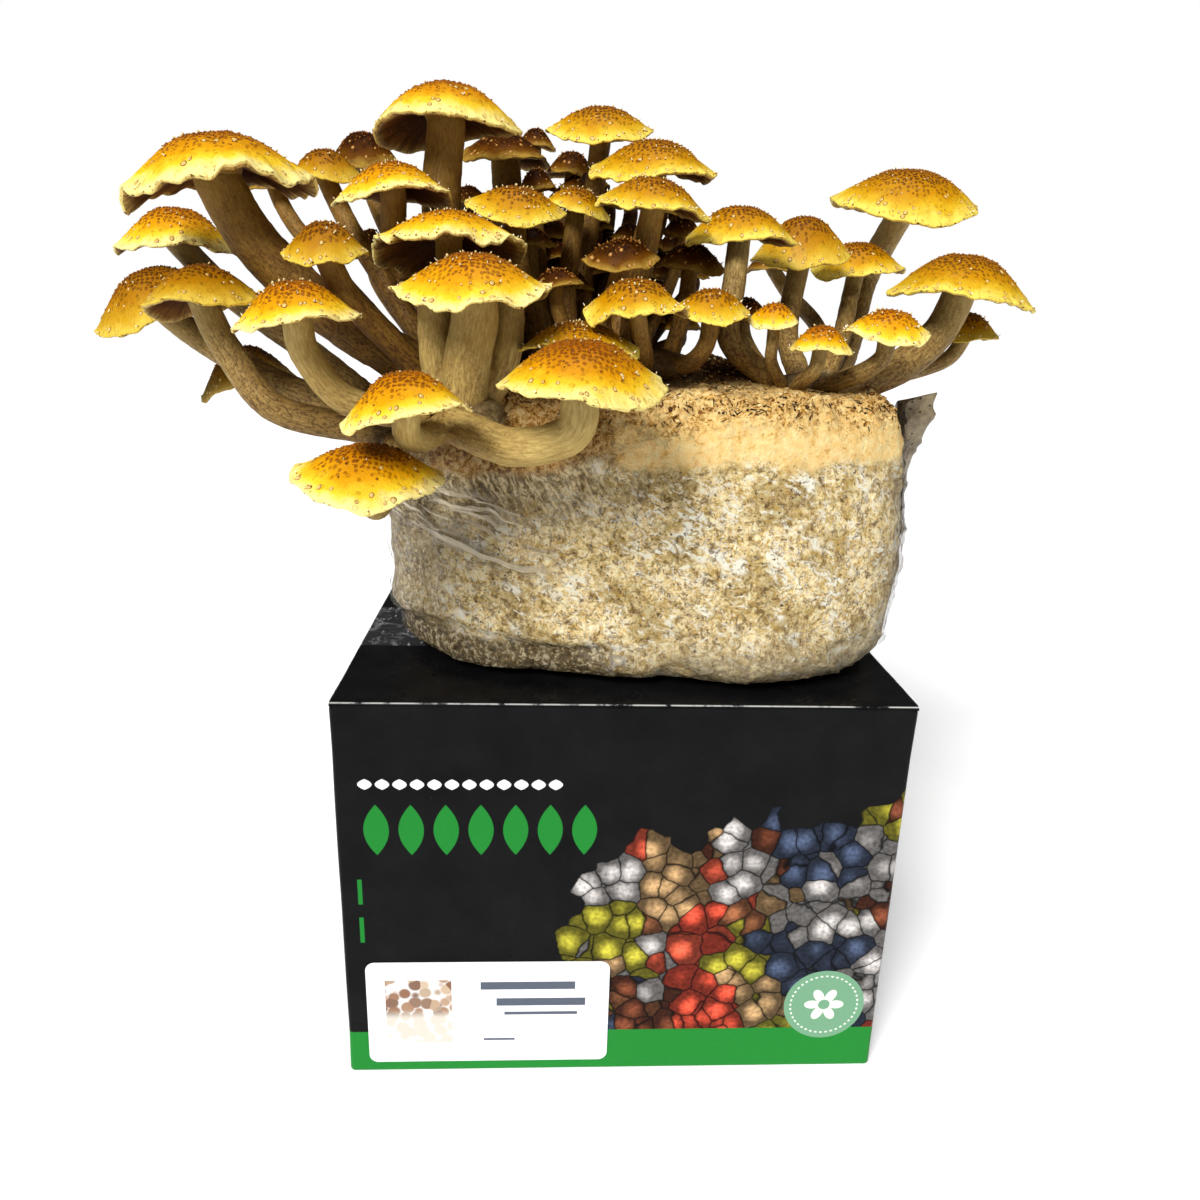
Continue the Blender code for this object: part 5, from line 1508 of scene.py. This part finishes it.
def cap_stand(mushroom, angle, outward):
    """Places on the cap's upper skin, with the outward normal and the direction down the slope."""
    step = 1e-3
    here = cap_top(mushroom, angle, outward)
    down = cap_top(mushroom, angle, outward + step) - here
    along = cap_top(mushroom, angle + step, outward) - here
    normal = np.cross(down, along)
    normal /= np.linalg.norm(normal, axis=-1, keepdims=True)
    down /= np.linalg.norm(down, axis=-1, keepdims=True)
    turn = mushroom.turn.T
    return mushroom.at + here @ turn, normal @ turn, down @ turn


def veil_flecks(mushroom, shaggy, chance):
    """Flat brown flecks set out as a sunflower's seeds, fewer towards the rim; a few are torn and pale."""
    count = int(math.pi / 4 * mushroom.width ** 2 * mushroom.depth * SKIN_OVER_PLAN / SCALE_AREA)
    turn = np.arange(count)
    outward = np.sqrt((turn + 0.5) / count) * 0.985
    angle = turn * GOLDEN_ANGLE + chance.uniform(-0.12, 0.12, count)
    outward = np.clip(outward + chance.uniform(-0.02, 0.02, count), 0.03, 0.985)
    keep = chance.uniform(size=count) < 1.35 - 1.8 * outward
    count = keep.sum()
    place, normal, down = cap_stand(mushroom, angle[keep], outward[keep])
    size = chance.uniform(0.26, 0.44, count) * MM
    height = chance.uniform(0.22, 0.55, count) * MM
    lean = chance.uniform(0.0, 0.4, count) * MM
    torn = chance.uniform(size=count) < (0.16 if shaggy else 0.03)
    height[torn] += chance.uniform(0.3, 0.8, torn.sum()) * MM
    flecks = raise_spots(place, normal, down, size, height, lean, ((1.0, 0.0), (0.6, 0.75)), SCALE_SIDES)
    # On caps in deep shade the torn flecks are less pale: painted shade.
    return *flecks, np.where(torn, 0.25 if mushroom.dark else 1.1, 0.0)


def veil_tufts(mushroom, shaggy, chance):
    """Thin pale tufts that stand up in four rings, most of them at the rim."""
    count = int((30 if shaggy else 9) * (0.4 if mushroom.dark else 1.0) * mushroom.width / (35 * MM))
    angle = chance.uniform(0, 2 * math.pi, count)
    outward = chance.choice([0.97, 0.9, 0.7, 0.45], count, p=[0.45, 0.2, 0.2, 0.15])
    place, normal, down = cap_stand(mushroom, angle, outward)
    size = chance.uniform(0.16, 0.30, count) * MM
    normal = normal + chance.uniform(-0.35, 0.35, (count, 3))
    height = chance.uniform(0.8, 1.6, count) * MM
    lean = chance.uniform(-0.2, 0.5, count) * MM
    tufts = raise_spots(place, normal, down, size, height, lean, ((1.0, 0.0), (0.7, 0.5)), SCALE_SIDES)
    # On caps in deep shade the tufts are less pale: painted shade.
    return *tufts, np.full(count, 0.5 if mushroom.dark else 1.6)


def veil_drops(mushroom, chance):
    """Soft round drops of veil, in four loose rings towards the rim, larger on the larger caps."""
    count = 12 + int(mushroom.width / (2 * MM))
    angle = np.arange(count) * 2.4 + mushroom.phase + chance.uniform(-0.3, 0.3, count)
    outward = chance.choice([0.93, 0.84, 0.70, 0.55], count, p=[0.4, 0.3, 0.2, 0.1])
    outward = outward + chance.uniform(-0.03, 0.03, count)
    place, normal, down = cap_stand(mushroom, angle, outward)
    size = chance.uniform(0.009, 0.016, count) * mushroom.width ** 0.5 * (45 * MM) ** 0.5
    drops = raise_spots(place, normal, down, size, size * 0.5, size * 0.35,
                        ((1.40, -0.10), (1.05, 0.25), (0.6, 0.85)), WART_SIDES)
    # On caps in deep shade the drops are less pale: painted shade.
    return *drops, np.full(count, 0.3 if mushroom.dark else 0.85)


def scale_finish():
    """Torn veil: dark brown at the foot of each scale, tan to cream at its tip, paler towards the rim."""
    veil = Finish("cap_scales", Roughness=0.6, Specular_IOR_Level=0.3)
    grain = veil.noise(0.6, 3.0)
    brown = grain.ramp((0.35, (0.19, 0.052, 0.001)), (0.65, (0.36, 0.125, 0.003)))
    cream = grain.ramp((0.35, (0.56, 0.37, 0.07)), (0.65, (0.80, 0.63, 0.26)))
    share = veil.mark("tip").step(0.12, 0.55) * veil.mark("pale")
    torn = veil.blend(share.step(0.9, 1.5), cream, (0.93, 0.86, 0.64))
    veil.paint(Base_Color=veil.blend(share, brown, torn), Normal=veil.relief(grain, 0.15, 0.6))
    return veil


veil = scale_finish()
chance = np.random.default_rng(11)
for clump_name, (_, _, mushrooms) in CLUMPS.items():
    lots = []
    for mushroom in mushrooms:
        shaggy = clump_name.startswith("middle") or mushroom.name in SHAGGY_CAPS
        lots += [veil_flecks(mushroom, shaggy, chance), veil_tufts(mushroom, shaggy, chance),
                 veil_drops(mushroom, chance)]
    points, faces, tips, pales = zip(*lots)
    firsts = np.cumsum([0] + [len(lot) for lot in points])
    scale_faces = [part + first for first, lot in zip(firsts, faces) for part in lot]
    by_size = [np.concatenate([part for part in scale_faces if part.shape[1] == size]) for size in (3, 4)]
    pales = [np.repeat(pale, len(tip) // len(pale)) for tip, pale in zip(tips, pales)]
    scale_piece = make_piece("scales_" + clump_name, np.concatenate(points), by_size, [veil],
                             marks={"tip": np.concatenate(tips), "pale": np.concatenate(pales)})


# Studio: a pale floor that runs out past the picture, a sky that looks white but lights faintly, and
# three soft lamps.
SKY_LIGHT = 0.07
SKY_SEEN = 1.0
FLOOR_RADIUS = 5
FLOOR_SIDES = 96
floor_angle = np.linspace(0, 2 * math.pi, FLOOR_SIDES + 1)[:-1]
floor_ring = points_at(FLOOR_RADIUS * np.cos(floor_angle), FLOOR_RADIUS * np.sin(floor_angle), 0)
floor_mesh = bpy.data.meshes.new("studio_floor")
floor_mesh.from_pydata(floor_ring.tolist(), [], [list(range(FLOOR_SIDES))])
floor = bpy.data.objects.new("studio_floor", floor_mesh)
bpy.context.scene.collection.objects.link(floor)
floor_paint = Finish("floor_paint", Base_Color=(0.96, 0.96, 0.96), Roughness=0.9, Specular_IOR_Level=0.1,
                     Emission_Color=(1.0, 1.0, 1.0), Emission_Strength=0.22)
floor_mesh.materials.append(floor_paint.material)

world = bpy.data.worlds.new("studio_sky")
world.use_nodes = True
sky = world.node_tree.nodes["Background"]
sky.inputs["Color"].default_value = (1.0, 1.0, 1.0, 1.0)
seen = world.node_tree.nodes.new("ShaderNodeLightPath")
brightness = world.node_tree.nodes.new("ShaderNodeMapRange")
brightness.inputs["To Min"].default_value = SKY_LIGHT
brightness.inputs["To Max"].default_value = SKY_SEEN
world.node_tree.links.new(seen.outputs["Is Camera Ray"], brightness.inputs["Value"])
world.node_tree.links.new(brightness.outputs[0], sky.inputs["Strength"])
bpy.context.scene.world = world
bpy.context.scene.view_settings.view_transform = "Standard"
lamps = (
    ("key_sun", "SUN", (-0.50, -0.85, 1.10), math.radians(28), 4.2),
    ("fill_lamp", "AREA", (0.75, -0.75, 0.75), 0.8, 0.9),
    ("top_lamp", "AREA", (0.05, 0.0, 1.30), 0.5, 3.0),
)
for lamp_name, lamp_kind, spot, breadth, power in lamps:
    light = bpy.data.lights.new(lamp_name, lamp_kind)
    light.energy = power
    if lamp_kind == "SUN":
        light.angle = breadth
    else:
        light.size = breadth
    lamp = bpy.data.objects.new(lamp_name, light)
    lamp.location = spot
    lamp.rotation_euler = (Vector((0, 0, 0.2)) - Vector(spot)).to_track_quat("-Z", "Y").to_euler()
    bpy.context.scene.collection.objects.link(lamp)

# Camera: worked out from the carton's edges in the photograph, in a frame as wide as it is high.
CAMERA_PLACE = (-28.33 * MM, -374.44 * MM, 289.49 * MM)
CAMERA_PITCH, CAMERA_ROLL, CAMERA_YAW = (math.radians(angle) for angle in (-17.643, -1.819, -3.294))
camera_data = bpy.data.cameras.new("photo_camera")
camera_data.sensor_width = 36.0
camera_data.lens = 28.188
camera_data.clip_start = 0.01
camera = bpy.data.objects.new("photo_camera", camera_data)
camera.matrix_world = (Matrix.Translation(CAMERA_PLACE) @ Matrix.Rotation(CAMERA_YAW, 4, "Z")
                       @ Matrix.Rotation(CAMERA_PITCH, 4, "X") @ Matrix.Rotation(CAMERA_ROLL, 4, "Y")
                       @ Matrix.Rotation(math.pi / 2, 4, "X"))
bpy.context.scene.collection.objects.link(camera)
bpy.context.scene.camera = camera
